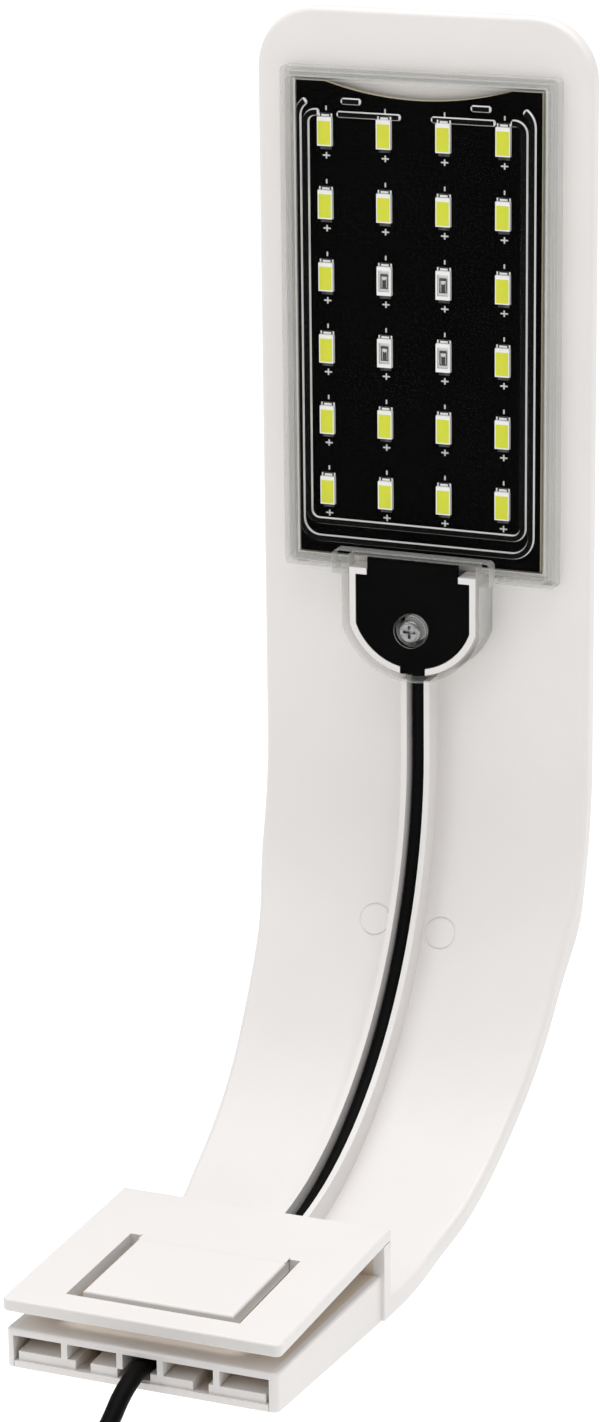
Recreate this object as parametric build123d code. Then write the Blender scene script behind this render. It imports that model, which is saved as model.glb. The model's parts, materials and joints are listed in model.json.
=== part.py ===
"""Clip-on LED aquarium light: a curved arm with a slot clip at one end and a lamp panel at the other.

Millimetres. The origin is the seat of the glass slot, on the light's plane of symmetry.
+X is to the right, +Y away from the slot's mouth, +Z up along the lamp panel.
"""

import os
from math import cos, pi, radians, sin, sqrt, tan

from build123d import *

# Arm: one blade, flat at the panel and bent round to the clip
ARM_WIDTH = 70.0
ARM_THICK = 3.4
ARM_EDGE_R = 1.1
PANEL_RUN = 149.2
PANEL_CORNER_R = 12.5
BEND_R = 79.6
BEND_DEG = 93.5
ROOT_RUN = 5.4
TAPER_FROM_BEND = 17.0
TAPER_LENGTH = 100.0

# Clip: two jaws with the glass slot between them
CLIP_WIDTH = 55.0
JAW_REACH = 50.3
SLOT_ROOT = 6.0
SLOT_MOUTH = 3.3
UPPER_JAW = 2.5
BACK_WALL = 3.2
LOWER_ROOT = 9.2
LOWER_MOUTH = 7.5
LOWER_INSET = 0.7
LOWER_TOP = 1.2
LOWER_SIDE = 1.6
JAW_CORNER_R = 1.4
JAW_EDGE_R = 0.5
RIB_AT = (4.0, 15.0)
RIB_WIDTH = 1.2
RIB_DROP = 3.0
RIB_LENGTH = 14.0

# Spring tongue cut into the upper jaw
TONGUE_WIDTH = 29.8
TONGUE_FRONT = 8.2
TONGUE_ROOT = 34.2
TONGUE_GROOVE = 2.3
TONGUE_RIDGE = 0.7
HINGE_GAP = 0.12

# Bottom cover of the lower jaw, with stop blocks along its front
BOTTOM_PLATE = 1.3
BLOCK_RISE = 1.8
BLOCK_DEPTH = 9.0
BLOCK_STEP = 0.5
BLOCKS = ((-24.4, -13.0), (-10.0, -4.7), (-0.8, 10.2), (13.3, 24.4))
COVER_GAP = 0.1

# Lamp board and its LEDs
BOARD_WIDTH = 51.2
BOARD_HEIGHT = 95.4
BOARD_THICK = 1.6
BOARD_TOP_GAP = 14.0
BOARD_LIFT = 0.9
CRESCENT_CHORD = 39.0
CRESCENT_DEPTH = 2.9
LED_COLUMNS = 4
LED_ROWS = 6
LED_PITCH_X = 12.4
LED_PITCH_Z = 14.51
LED_SHIFT_X = -0.8
LED_SHIFT_Z = 1.6
LED_WIDTH = 3.0
LED_HEIGHT = 5.7
LED_RISE = 0.9
LED_WALL = 0.35
LED_POCKET = 0.35
LED_END = 0.75
PAD_HEIGHT = 0.75
PAD_RISE = 0.12

# Clear cover: rim, raised window and the tab over the cable entry
COVER_MARGIN_X = 3.4
COVER_MARGIN_TOP = 2.7
COVER_MARGIN_LOW = 3.2
RIM_RISE = 2.9
RIM_THICK = 1.0
RIM_STEP = 1.7
WINDOW_RISE = 4.55
WINDOW_THICK = 1.0
WINDOW_WALL = 0.8
COVER_CORNER_R = 1.0
TAB_WIDTH = 29.4
TAB_RISE = 7.8
TAB_WALL = 1.0
TAB_OVER = 5.3
TAB_SIDE = 10.4
TAB_ARC = 10.5
TAB_BAR_WIDTH = 33.6
TAB_BAR_HEIGHT = 4.8
SCREW_BELOW_COVER = 10.2

# Walls that stand on the arm
TRAY_FIT = 0.5
TRAY_WALL = 1.0
TRAY_RISE = 1.4
TRAY_GAP = 6.0
SEAL_THICK = 0.5
ENTRY_WALL = 1.3
ENTRY_FIT = 0.2
ENTRY_OPEN = 5.4
ENTRY_STUB = 2.4
CHANNEL_WALL = 1.2
CHANNEL_GAP = 0.15
CHANNEL_RISE = 5.1
MARK_R = 3.4
MARK_LINE = 0.35
MARK_DEPTH = 0.12
MARKS = ((-7.6, 26.6), (6.8, 27.4))

# Screw and the black insert under the tab
SCREW_R = 1.3
SCREW_HEAD_R = 2.4
SCREW_HEAD = 1.5
SCREW_LENGTH = 8.0
SCREW_PROUD = 0.5
SCREW_FIT = 0.02
CROSS_WIDTH = 0.6
CROSS_DEPTH = 0.9
BOSS_R = 2.7
BOSS_RISE = 4.4
COLLAR_R = 3.4
COLLAR_PROUD = 0.4
HEAD_FIT = 0.1
INSERT_THICK = 1.8
PART_GAP = 0.1

# Driver in the cable entry
DRIVER_GAP = 1.2
DRIVER_HEIGHT = 7.2
DRIVER_THICK = 1.0
BRIDGE = (4.7, 1.4, 3.9)
DRIVER_CHIP = (4.9, 1.5, 3.8)
RESISTOR = (1.6, 0.55, 3.2)
BRIDGE_FROM_EDGE = 4.8
CHIP_FROM_EDGE = 5.2
RESISTOR_FROM_EDGE = (1.2, 1.3)
WIRE_R = 0.65
SUPPLY_WIRE_X = 4.2
LAMP_WIRE_X = 1.5
CORD_INSIDE = 3.7

# Cord, put away in a coil in front of the clip
CORD_D = 3.4
CORD_FIT = 0.15
CLIP_BORE_FIT = 0.1
COIL_OUT_R = 27.2
COIL_TURNS_WIDE = 5
COIL_LAYERS = 2
COIL_CENTRE = (6.0, -98.0)
TIE_THICK = 0.8
TIE_WIDTH = 9.0
TIE_AT_DEG = 20.0

# Switch on the cord
SWITCH_AT = (-20.0, -142.0)
SWITCH_LENGTH = 46.0
SWITCH_WIDTH = 17.0
SWITCH_HEIGHT = 13.0
SWITCH_WALL = 1.6
SWITCH_EDGE_R = 2.6
ROCKER_LENGTH = 14.0
ROCKER_WIDTH = 9.0
ROCKER_PROUD = 1.0
ROCKER_DISH = 0.9
ROCKER_DEPTH = 3.0
ROCKER_TILT = 8.0
ROCKER_GAP = 0.3
PIVOT_DEEP = 3.4
PIVOT_R = 1.0
PIVOT_FIT = 0.05
EAR_THICK = 1.5
CONTACT_THICK = 0.8

# Two-pin plug
PLUG_AT = (15.0, -162.0)
PLUG_WIDTH = 35.0
PLUG_HEIGHT = 13.7
PLUG_LENGTH = 34.0
PLUG_NOSE = 10.0
PLUG_EDGE_R = 2.0
PIN_R = 2.0
PIN_LENGTH = 19.0
PIN_SPACING = 18.6
PIN_CORE_R = 1.5
SLEEVE_LENGTH = 10.0
SLEEVE_NECK = 0.4
PIN_INSIDE = 8.0
RELIEF_LENGTH = 16.0
RELIEF_R = 4.2

# Places that follow from the sizes above
LEAN = BEND_DEG - 90.0
OUTER_R = BEND_R + ARM_THICK
UNDER_Z = -SLOT_ROOT / 2 - LOWER_ROOT
BEND_Y = BACK_WALL + ROOT_RUN * cos(radians(LEAN)) + OUTER_R * sin(radians(LEAN))
BEND_Z = UNDER_Z - ROOT_RUN * sin(radians(LEAN)) + OUTER_R * cos(radians(LEAN))
FACE_Y = BEND_Y + BEND_R
TOP_Z = BEND_Z + PANEL_RUN
FLOOR_Z = BEND_Z - OUTER_R
JAW_BOTTOM_Z = SLOT_ROOT / 2
JAW_TOP_Z = JAW_BOTTOM_Z + UPPER_JAW
MOUTH_TOP_Z = JAW_BOTTOM_Z - SLOT_MOUTH
MOUTH_UNDER_Z = MOUTH_TOP_Z - LOWER_MOUTH
LOWER_HALF = CLIP_WIDTH / 2 - LOWER_INSET

BOARD_TOP = TOP_Z - BOARD_TOP_GAP
BOARD_LOW = BOARD_TOP - BOARD_HEIGHT
BOARD_FRONT_Y = FACE_Y - BOARD_LIFT - BOARD_THICK
LED_Z = (BOARD_TOP + BOARD_LOW) / 2 + LED_SHIFT_Z
LED_FRONT_Y = BOARD_FRONT_Y - LED_RISE

COVER_HALF = BOARD_WIDTH / 2 + COVER_MARGIN_X
COVER_TOP = BOARD_TOP + COVER_MARGIN_TOP
COVER_LOW = BOARD_LOW - COVER_MARGIN_LOW
RIM_FRONT_Y = FACE_Y - RIM_RISE
WINDOW_FRONT_Y = FACE_Y - WINDOW_RISE
TAB_FRONT_Y = FACE_Y - TAB_RISE
TAB_TOP = COVER_LOW + TAB_OVER
TAB_CORNER = COVER_LOW - TAB_SIDE
TAB_LOW = TAB_CORNER - TAB_ARC
TAB_ARC_R = ((TAB_WIDTH / 2) ** 2 + TAB_ARC**2) / (2 * TAB_ARC)
SCREW_Z = COVER_LOW - SCREW_BELOW_COVER

ENTRY_INSET = TAB_WALL + ENTRY_FIT
ENTRY_FRONT_Y = TAB_FRONT_Y + TAB_WALL + ENTRY_FIT
ENTRY_TOP = BOARD_LOW - TRAY_FIT - TRAY_WALL
INSERT_BACK_Y = ENTRY_FRONT_Y + INSERT_THICK
DRIVER_TOP = ENTRY_TOP - ENTRY_WALL - ENTRY_FIT
DRIVER_LOW = DRIVER_TOP - DRIVER_HEIGHT
DRIVER_HALF = TAB_WIDTH / 2 - ENTRY_INSET - ENTRY_WALL - DRIVER_GAP
BRIDGE_X = BRIDGE_FROM_EDGE - DRIVER_HALF
CHIP_X = DRIVER_HALF - CHIP_FROM_EDGE
RESISTOR_AT = (RESISTOR_FROM_EDGE[0] - DRIVER_HALF, DRIVER_HALF - RESISTOR_FROM_EDGE[1])

CORD_R = CORD_D / 2
CORD_RAIL_R = BEND_R - CORD_R - CHANNEL_GAP / 2
CORD_END_Z = TAB_LOW + CORD_INSIDE
COIL_WIDE = COIL_TURNS_WIDE * CORD_D
COIL_IN_R = COIL_OUT_R - COIL_WIDE
COIL_Z = FLOOR_Z + TIE_THICK
COIL_HIGH = COIL_LAYERS * CORD_D
COIL_LEFT_X = COIL_CENTRE[0] - COIL_OUT_R + CORD_R
LIE_Z = FLOOR_Z + CORD_R

SWITCH_TOP_Z = FLOOR_Z + SWITCH_HEIGHT
SWITCH_NEAR_Y = SWITCH_AT[1] + SWITCH_LENGTH / 2
SWITCH_FAR_Y = SWITCH_AT[1] - SWITCH_LENGTH / 2
SWITCH_CORD_Z = FLOOR_Z + SWITCH_WALL + CORD_R + CORD_FIT
PIVOT_Z = SWITCH_TOP_Z - PIVOT_DEEP
ROCKER_TOP = PIVOT_DEEP + ROCKER_PROUD
PLUG_MID_Z = FLOOR_Z + PLUG_HEIGHT / 2
SLEEVE_NECK_R = (PIN_R + PIN_CORE_R) / 2
PLUG_REAR_Y = PLUG_AT[1] - PLUG_LENGTH
RELIEF_END_Y = PLUG_REAR_Y - RELIEF_LENGTH


def span(x, y, z):
    """Box between the two limits given for each axis."""
    limits = (x, y, z)
    return Pos(*[(a + b) / 2 for a, b in limits]) * Box(*[b - a for a, b in limits])


def side_shape(outline, left, right):
    """Solid between two places along X, from a closed outline of Y and Z."""
    return extrude(Plane.YZ.offset(left) * make_face(outline), right - left)


def front_shape(sketch, back, front):
    """Solid from a front-view sketch of X and Z, between two places along Y."""
    view = Plane(origin=(0, back, 0), x_dir=(1, 0, 0), z_dir=(0, -1, 0))
    return extrude(view * sketch, back - front)


def rod_y(radius, x, z, back, front):
    """Round rod along Y."""
    return front_shape(Pos(x, z) * Circle(radius), back, front)


def mirror_x(solid):
    """Solid and its mirror image across the plane of symmetry."""
    return solid + mirror(solid, Plane.YZ)


def group(solids):
    """One node made of separate solids."""
    return Compound(solids)


def bend_point(radius, turned):
    """Point of Y and Z on the bend, turned down from the panel by an angle."""
    angle = radians(turned)
    return (BEND_Y + radius * cos(angle), BEND_Z - radius * sin(angle))


def root_point(radius, end_y):
    """Point where the straight run after the bend reaches a place along Y."""
    foot = bend_point(radius, BEND_DEG)
    return (end_y, foot[1] + (foot[0] - end_y) * tan(radians(LEAN)))


def rail(radius, top_z, end_y):
    """Line that follows the arm at a radius from the bend's centre."""
    knee = bend_point(radius, 0)
    foot = bend_point(radius, BEND_DEG)
    down = Line((knee[0], top_z), knee)
    bend = ThreePointArc(knee, bend_point(radius, BEND_DEG / 2), foot)
    return down + bend + Line(foot, root_point(radius, end_y))


def band(inner_r, outer_r, top_z, end_y, half_width):
    """Strip that follows the arm between two radii."""
    top = Line((BEND_Y + inner_r, top_z), (BEND_Y + outer_r, top_z))
    end = Line(root_point(inner_r, end_y), root_point(outer_r, end_y))
    outline = rail(inner_r, top_z, end_y) + rail(outer_r, top_z, end_y) + top + end
    return side_shape(outline, -half_width, half_width)


def half_width_at(run):
    """Half width of the arm at a run along the bend."""
    share = min(max((run - TAPER_FROM_BEND) / TAPER_LENGTH, 0), 1)
    return (ARM_WIDTH - share * (ARM_WIDTH - CLIP_WIDTH)) / 2


def tapered_plan():
    """Outline of the arm from above, as a tall solid."""
    steps = [TAPER_FROM_BEND + TAPER_LENGTH * i / 6 for i in range(7)]
    right = [(half_width_at(s), BEND_Y + BEND_R * cos(s / BEND_R)) for s in steps]
    left = [(-x, y) for x, y in right]
    back = FACE_Y + 4 * ARM_THICK
    front = -JAW_REACH
    ahead = ((0, -1), (0, -1))
    outline = Spline(right, tangents=ahead) + Spline(left, tangents=ahead)
    outline += Polyline(left[0], (left[0][0], back), (right[0][0], back), right[0])
    outline += Polyline(left[-1], (left[-1][0], front), (right[-1][0], front), right[-1])
    base = Plane.XY.offset(FLOOR_Z - ARM_THICK)
    return extrude(base * make_face(outline), TOP_Z - FLOOR_Z + 2 * ARM_THICK)


def on_front(edge):
    """True for the long edges round the arm's front face."""
    ends = (edge @ 0, edge @ 1)
    if abs(ends[0].X - ends[1].X) > CLIP_WIDTH / 2 and ends[0].Z < TOP_Z - 1:
        return False
    for p in (ends[0], edge @ 0.5, ends[1]):
        if p.Z >= BEND_Z:
            gap = abs(p.Y - FACE_Y)
        else:
            gap = abs(sqrt((p.Y - BEND_Y) ** 2 + (p.Z - BEND_Z) ** 2) - BEND_R)
        if gap > 0.3 or p.Y < BACK_WALL + ARM_THICK:
            return False
    return True


def arm_blade():
    """Bare arm: bent, tapered, round at the top corners and along its front edges."""
    blade = band(BEND_R, OUTER_R, TOP_Z, 0, ARM_WIDTH / 2) & tapered_plan()
    corners = [e for e in blade.edges().filter_by(Axis.Y) if (e @ 0.5).Z > TOP_Z - 1]
    blade = fillet(corners, PANEL_CORNER_R)
    return fillet(blade.edges().filter_by(on_front), ARM_EDGE_R)


def lower_line(drop, front_y):
    """Two points along the lower jaw's top face, moved down by a drop."""
    rise = (MOUTH_TOP_Z + SLOT_ROOT / 2) / JAW_REACH
    return ((0, -SLOT_ROOT / 2 - drop), (front_y, -SLOT_ROOT / 2 - drop - front_y * rise))


def under_z(y):
    """Height of the clip's underside at a place along Y."""
    return UNDER_Z - (MOUTH_UNDER_Z - UNDER_Z) * y / JAW_REACH


def top_edges(jaw):
    """Edges round a jaw's top face, apart from the one at its rear."""
    return jaw.faces().sort_by(Axis.Z)[-1].edges().sort_by(Axis.Y)[:-1]


def lower_shell():
    """Upper half of the lower jaw: a top wall, two sides and the ribs behind its front."""
    rear, mouth = lower_line(0, -JAW_REACH)
    outline = Polyline(rear, mouth, (-JAW_REACH, MOUTH_UNDER_Z), (0, UNDER_Z), close=True)
    shell = side_shape(outline, -LOWER_HALF, LOWER_HALF)
    shell = fillet(shell.edges().filter_by(Axis.Z).sort_by(Axis.Y)[:2], JAW_CORNER_R)
    shell = fillet(top_edges(shell), JAW_EDGE_R)
    inner_rear, inner_mouth = lower_line(LOWER_TOP, -JAW_REACH - 1)
    deep = FLOOR_Z - 1
    hollow = Polyline(inner_rear, inner_mouth, (inner_mouth[0], deep), (0, deep), close=True)
    inner_half = LOWER_HALF - LOWER_SIDE
    shell -= side_shape(hollow, -inner_half, inner_half)
    rib_rear, rib_front = lower_line(LOWER_TOP, -JAW_REACH)
    rib_low = MOUTH_TOP_Z - LOWER_TOP - RIB_DROP
    for x in RIB_AT:
        near = (-JAW_REACH + RIB_LENGTH, rib_low)
        top = (near[0], rib_front[1] + (rib_rear[1] - rib_front[1]) * RIB_LENGTH / JAW_REACH)
        rib = Polyline(rib_front, top, near, (-JAW_REACH, rib_low), close=True)
        shell += mirror_x(side_shape(rib, x - RIB_WIDTH / 2, x + RIB_WIDTH / 2))
    return shell - clip_bore()


def tongue_limits():
    """Front and hinge of the spring tongue along Y."""
    return (-JAW_REACH + TONGUE_FRONT, -JAW_REACH + TONGUE_ROOT)


def hinge_rod(radius, half_length):
    """Round rod along the tongue's hinge line."""
    middle = (tongue_limits()[1], JAW_BOTTOM_Z + UPPER_JAW / 2)
    return side_shape(Pos(*middle) * Circle(radius).edges()[0], -half_length, half_length)


def upper_jaw():
    """Flat upper jaw with the slot round its tongue."""
    half = CLIP_WIDTH / 2
    jaw = span((-half, half), (-JAW_REACH, BACK_WALL), (JAW_BOTTOM_Z, JAW_TOP_Z))
    jaw = fillet(jaw.edges().filter_by(Axis.Z).sort_by(Axis.Y)[:2], JAW_CORNER_R)
    jaw = fillet(jaw.faces().sort_by(Axis.Z)[-1].edges(), JAW_EDGE_R)
    jaw = fillet(jaw.faces().sort_by(Axis.Z)[0].edges().sort_by(Axis.Y)[:-1], JAW_EDGE_R)
    front, hinge = tongue_limits()
    tongue_half = TONGUE_WIDTH / 2
    deep = (JAW_BOTTOM_Z - 1, JAW_TOP_Z + 1)
    outer = tongue_half + TONGUE_GROOVE
    jaw -= span((-outer, outer), (front - TONGUE_GROOVE, hinge), deep)
    return jaw - hinge_rod(UPPER_JAW / 2 + HINGE_GAP, tongue_half + HINGE_GAP)


def clip_tongue():
    """Spring tongue that presses on the glass, with a ridge under its free end."""
    front, hinge = tongue_limits()
    half = TONGUE_WIDTH / 2
    tongue = span((-half, half), (front, hinge), (JAW_BOTTOM_Z, JAW_TOP_Z))
    tongue = fillet(top_edges(tongue), JAW_EDGE_R)
    tongue += hinge_rod(UPPER_JAW / 2, half)
    ridge = Pos(front + 2 * TONGUE_RIDGE, JAW_BOTTOM_Z) * Circle(TONGUE_RIDGE).edges()[0]
    return tongue + side_shape(ridge, -half, half)


def cord_z_at(y):
    """Height of the held cord's middle where it crosses the clip."""
    return root_point(CORD_RAIL_R, y)[1]


def clip_bore():
    """Room for the held cord along the lower jaw."""
    rear = root_point(CORD_RAIL_R, 0)
    front = root_point(CORD_RAIL_R, -JAW_REACH - 1)
    path = Plane.YZ * Line(rear, front)
    return sweep(Plane(origin=path @ 0, z_dir=path % 0) * Circle(CORD_R + CLIP_BORE_FIT), path=path)


def back_wall():
    """Wall that joins the jaws to the arm, with a hole for the cord."""
    half = CLIP_WIDTH / 2
    wall = span((-half, half), (0, BACK_WALL), (UNDER_Z + ARM_THICK / 2, JAW_BOTTOM_Z))
    reach = CORD_R + CORD_FIT
    hole_z = (cord_z_at(BACK_WALL) - reach, cord_z_at(0) + reach)
    return wall - span((-reach, reach), (-1, BACK_WALL + 1), hole_z)


def tab_outline(inset, top):
    """Face of the tab's outline, moved in by an inset, from its arc up to a height."""
    half = TAB_WIDTH / 2 - inset
    radius = TAB_ARC_R - inset
    middle_z = TAB_LOW + TAB_ARC_R
    side_z = middle_z - sqrt(radius**2 - half**2)
    arc = ThreePointArc((-half, side_z), (0, middle_z - radius), (half, side_z))
    return make_face(arc + Polyline((half, side_z), (half, top), (-half, top), (-half, side_z)))


def board_frame(margin, wall):
    """Ring of a wall's width round the lamp board, a margin away from it."""
    width = BOARD_WIDTH + 2 * margin
    height = BOARD_HEIGHT + 2 * margin
    ring = Rectangle(width + 2 * wall, height + 2 * wall) - Rectangle(width, height)
    return Pos(0, (BOARD_TOP + BOARD_LOW) / 2) * ring


def tray_wall():
    """Low wall round the lamp board, open where the wires pass."""
    wall = front_shape(board_frame(TRAY_FIT, TRAY_WALL), FACE_Y, FACE_Y - TRAY_RISE)
    gap = (-TRAY_GAP / 2, TRAY_GAP / 2)
    return wall - span(gap, (FACE_Y - 2 * TRAY_RISE, FACE_Y), (ENTRY_TOP - 1, BOARD_LOW))


def entry_wall():
    """Wall round the cable entry, open at the bottom for the cord."""
    outer = tab_outline(ENTRY_INSET, ENTRY_TOP)
    inner = tab_outline(ENTRY_INSET + ENTRY_WALL, ENTRY_TOP + 1)
    wall = front_shape(outer - inner, FACE_Y, ENTRY_FRONT_Y)
    inner_half = TAB_WIDTH / 2 - ENTRY_INSET - ENTRY_WALL
    stub_x = (inner_half - ENTRY_STUB, inner_half + ENTRY_WALL / 2)
    wall += mirror_x(span(stub_x, (ENTRY_FRONT_Y, FACE_Y), (ENTRY_TOP - ENTRY_WALL, ENTRY_TOP)))
    half = ENTRY_OPEN / 2
    return wall - span((-half, half), (ENTRY_FRONT_Y - 1, FACE_Y), (TAB_LOW, TAB_CORNER))


def screw_boss():
    """Boss on the arm that the cover screw bites into."""
    return rod_y(BOSS_R, 0, SCREW_Z, FACE_Y, FACE_Y - BOSS_RISE)


def moulding_marks():
    """Shallow rings that the ejector pins leave on the bend."""
    marks = []
    for x, turned in MARKS:
        y, z = bend_point(BEND_R, turned)
        into = Plane(origin=(x, y, z), x_dir=(1, 0, 0), z_dir=(0, y - BEND_Y, z - BEND_Z))
        ring = Circle(MARK_R) - Circle(MARK_R - MARK_LINE)
        marks.append(extrude(into.offset(-1) * ring, 1 + MARK_DEPTH))
    return marks


def arm_shell():
    """The white moulding: arm, clip jaws, tray, cable entry and cord channel."""
    shell = arm_blade() + back_wall() + lower_shell() + upper_jaw()
    shell += tray_wall() + entry_wall() + screw_boss()
    channel = CORD_R + CHANNEL_GAP
    crest_r = BEND_R - CHANNEL_RISE
    foot_r = BEND_R + ARM_THICK / 2
    walls = band(crest_r, foot_r, TAB_LOW - ENTRY_FIT, BACK_WALL / 2, channel + CHANNEL_WALL)
    shell += walls - band(crest_r - 1, foot_r + 1, TOP_Z, 0, channel)
    bore_end = TAB_FRONT_Y + SCREW_HEAD - SCREW_PROUD + SCREW_LENGTH + ENTRY_FIT
    shell -= rod_y(SCREW_R + SCREW_FIT, 0, SCREW_Z, bore_end, FACE_Y - BOSS_RISE - 1)
    for mark in moulding_marks():
        shell -= mark
    return shell


def bottom_cover():
    """Plate that closes the lower jaw from below, with stop blocks at its front."""
    half = LOWER_HALF - LOWER_SIDE - COVER_GAP
    rear_y = -COVER_GAP
    plate = Polyline(
        (rear_y, under_z(rear_y)),
        (-JAW_REACH, MOUTH_UNDER_Z),
        (-JAW_REACH, MOUTH_UNDER_Z + BOTTOM_PLATE),
        (rear_y, under_z(rear_y) + BOTTOM_PLATE),
        close=True,
    )
    cover = side_shape(plate, -half, half)
    top = MOUTH_UNDER_Z + BOTTOM_PLATE + BLOCK_RISE
    depth = (-JAW_REACH + BLOCK_STEP, -JAW_REACH + BLOCK_STEP + BLOCK_DEPTH)
    for left, right in BLOCKS:
        cover += span((left, right), depth, (under_z(depth[1]) + BOTTOM_PLATE / 2, top))
    reach = CORD_R + CORD_FIT
    cover -= span((-reach, reach), depth, (cord_z_at(depth[1]) - reach, top + 1))
    return cover - clip_bore()


def lamp_board():
    """Black lamp board, with a shallow arc cut out of its top edge."""
    outline = Pos(0, (BOARD_TOP + BOARD_LOW) / 2) * Rectangle(BOARD_WIDTH, BOARD_HEIGHT)
    arc_r = (CRESCENT_CHORD**2 / 4 + CRESCENT_DEPTH**2) / (2 * CRESCENT_DEPTH)
    outline -= Pos(0, BOARD_TOP - CRESCENT_DEPTH + arc_r) * Circle(arc_r)
    return front_shape(outline, FACE_Y - BOARD_LIFT, BOARD_FRONT_Y)


def thermal_pad():
    """Pad that fixes the board to the arm and carries its heat away."""
    inset = CRESCENT_DEPTH + TRAY_WALL
    low = BOARD_LOW + inset
    half = BOARD_WIDTH / 2 - inset
    return span((-half, half), (FACE_Y - BOARD_LIFT, FACE_Y), (low, BOARD_TOP - inset))


def led_places():
    """Centres of the LEDs by column and row, each with True for a blue one."""
    places = []
    for row in range(LED_ROWS):
        for column in range(LED_COLUMNS):
            x = LED_SHIFT_X + (column - (LED_COLUMNS - 1) / 2) * LED_PITCH_X
            z = LED_Z + ((LED_ROWS - 1) / 2 - row) * LED_PITCH_Z
            middle = row in (2, 3) and column in (1, 2)
            places.append((x, z, middle))
    return places


def led_box(x, z, side, end, front, back):
    """Box centred on an LED, inset from its sides and ends."""
    half_x = LED_WIDTH / 2 - side
    half_z = LED_HEIGHT / 2 - end
    return span((x - half_x, x + half_x), (front, back), (z - half_z, z + half_z))


def led_housing(x, z):
    """White LED body with an open pocket."""
    pocket_back = LED_FRONT_Y + LED_POCKET
    body = led_box(x, z, 0, 0, LED_FRONT_Y, BOARD_FRONT_Y)
    return body - led_box(x, z, LED_WALL, LED_END, LED_FRONT_Y - 1, pocket_back)


def led_window(x, z):
    """Filling of an LED's pocket."""
    return led_box(x, z, LED_WALL, LED_END, LED_FRONT_Y, LED_FRONT_Y + LED_POCKET)


def solder_pads():
    """Bright pads at both ends of every LED."""
    front = BOARD_FRONT_Y - PAD_RISE
    half_x = LED_WIDTH / 2 - LED_WALL
    pads = []
    for x, z, _ in led_places():
        for end in (z + LED_HEIGHT / 2, z - LED_HEIGHT / 2 - PAD_HEIGHT):
            pad_x = (x - half_x, x + half_x)
            pads.append(span(pad_x, (front, BOARD_FRONT_Y), (end, end + PAD_HEIGHT)))
    return pads


def cover_slab(inset, back, front):
    """Slab with the cover's outline moved in by an inset."""
    low = COVER_LOW + inset
    high = COVER_TOP - inset
    half = COVER_HALF - inset
    return span((-half, half), (front, back), (low, high))


def lens_cover():
    """Clear cover: rim, raised window, and the tab with its screw collar."""
    cover = cover_slab(0, FACE_Y, RIM_FRONT_Y)
    cover = fillet(cover.edges().filter_by(Axis.Y), COVER_CORNER_R)
    window = cover_slab(RIM_STEP, FACE_Y, WINDOW_FRONT_Y)
    cover += fillet(window.edges().filter_by(Axis.Y), COVER_CORNER_R)
    cover += front_shape(tab_outline(0, TAB_TOP), FACE_Y, TAB_FRONT_Y)
    bar_half = TAB_BAR_WIDTH / 2
    bar_z = (TAB_TOP - TAB_BAR_HEIGHT, TAB_TOP)
    bar = span((-bar_half, bar_half), (TAB_FRONT_Y, RIM_FRONT_Y + RIM_THICK), bar_z)
    cover += fillet(bar.edges().filter_by(Axis.Y).sort_by(Axis.Z)[2:], COVER_CORNER_R)
    cover -= cover_slab(RIM_THICK, FACE_Y, RIM_FRONT_Y + RIM_THICK)
    cover -= cover_slab(RIM_STEP + WINDOW_WALL, FACE_Y, WINDOW_FRONT_Y + WINDOW_THICK)
    cover -= front_shape(tab_outline(TAB_WALL, TAB_TOP - TAB_WALL), FACE_Y, TAB_FRONT_Y + TAB_WALL)
    cover += rod_y(COLLAR_R, 0, SCREW_Z, FACE_Y - BOSS_RISE - PART_GAP, TAB_FRONT_Y - COLLAR_PROUD)
    head_back = TAB_FRONT_Y - SCREW_PROUD + SCREW_HEAD
    cover -= rod_y(SCREW_HEAD_R + HEAD_FIT, 0, SCREW_Z, head_back, TAB_FRONT_Y - 1)
    cover -= rod_y(SCREW_R + HEAD_FIT, 0, SCREW_Z, FACE_Y, TAB_FRONT_Y)
    reach = CORD_R + CORD_FIT
    arch_z = (TAB_LOW - 1, TAB_LOW + 2 * TAB_WALL)
    return cover - span((-reach, reach), (FACE_Y - CORD_D - CORD_FIT, FACE_Y), arch_z)


def cover_seal():
    """Soft seal between the tray wall and the cover's rim."""
    back = FACE_Y - TRAY_RISE
    seal = front_shape(board_frame(TRAY_FIT, TRAY_WALL), back, RIM_FRONT_Y + RIM_THICK)
    half = TAB_WIDTH / 2
    return seal - span((-half, half), (RIM_FRONT_Y, FACE_Y), (TAB_LOW, BOARD_LOW))


def cover_screw():
    """Round-headed screw with a cross recess."""
    front = TAB_FRONT_Y - SCREW_PROUD
    seat = front + SCREW_HEAD
    head = rod_y(SCREW_HEAD_R, 0, SCREW_Z, seat, front)
    head = fillet(head.edges().sort_by(Axis.Y)[0], SCREW_HEAD / 2)
    arm = CROSS_WIDTH * 2.2
    half = CROSS_WIDTH / 2
    deep = (front - 1, front + CROSS_DEPTH)
    head -= span((-arm, arm), deep, (SCREW_Z - half, SCREW_Z + half))
    head -= span((-half, half), deep, (SCREW_Z - arm, SCREW_Z + arm))
    return head + rod_y(SCREW_R, 0, SCREW_Z, seat + SCREW_LENGTH, seat)


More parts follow.
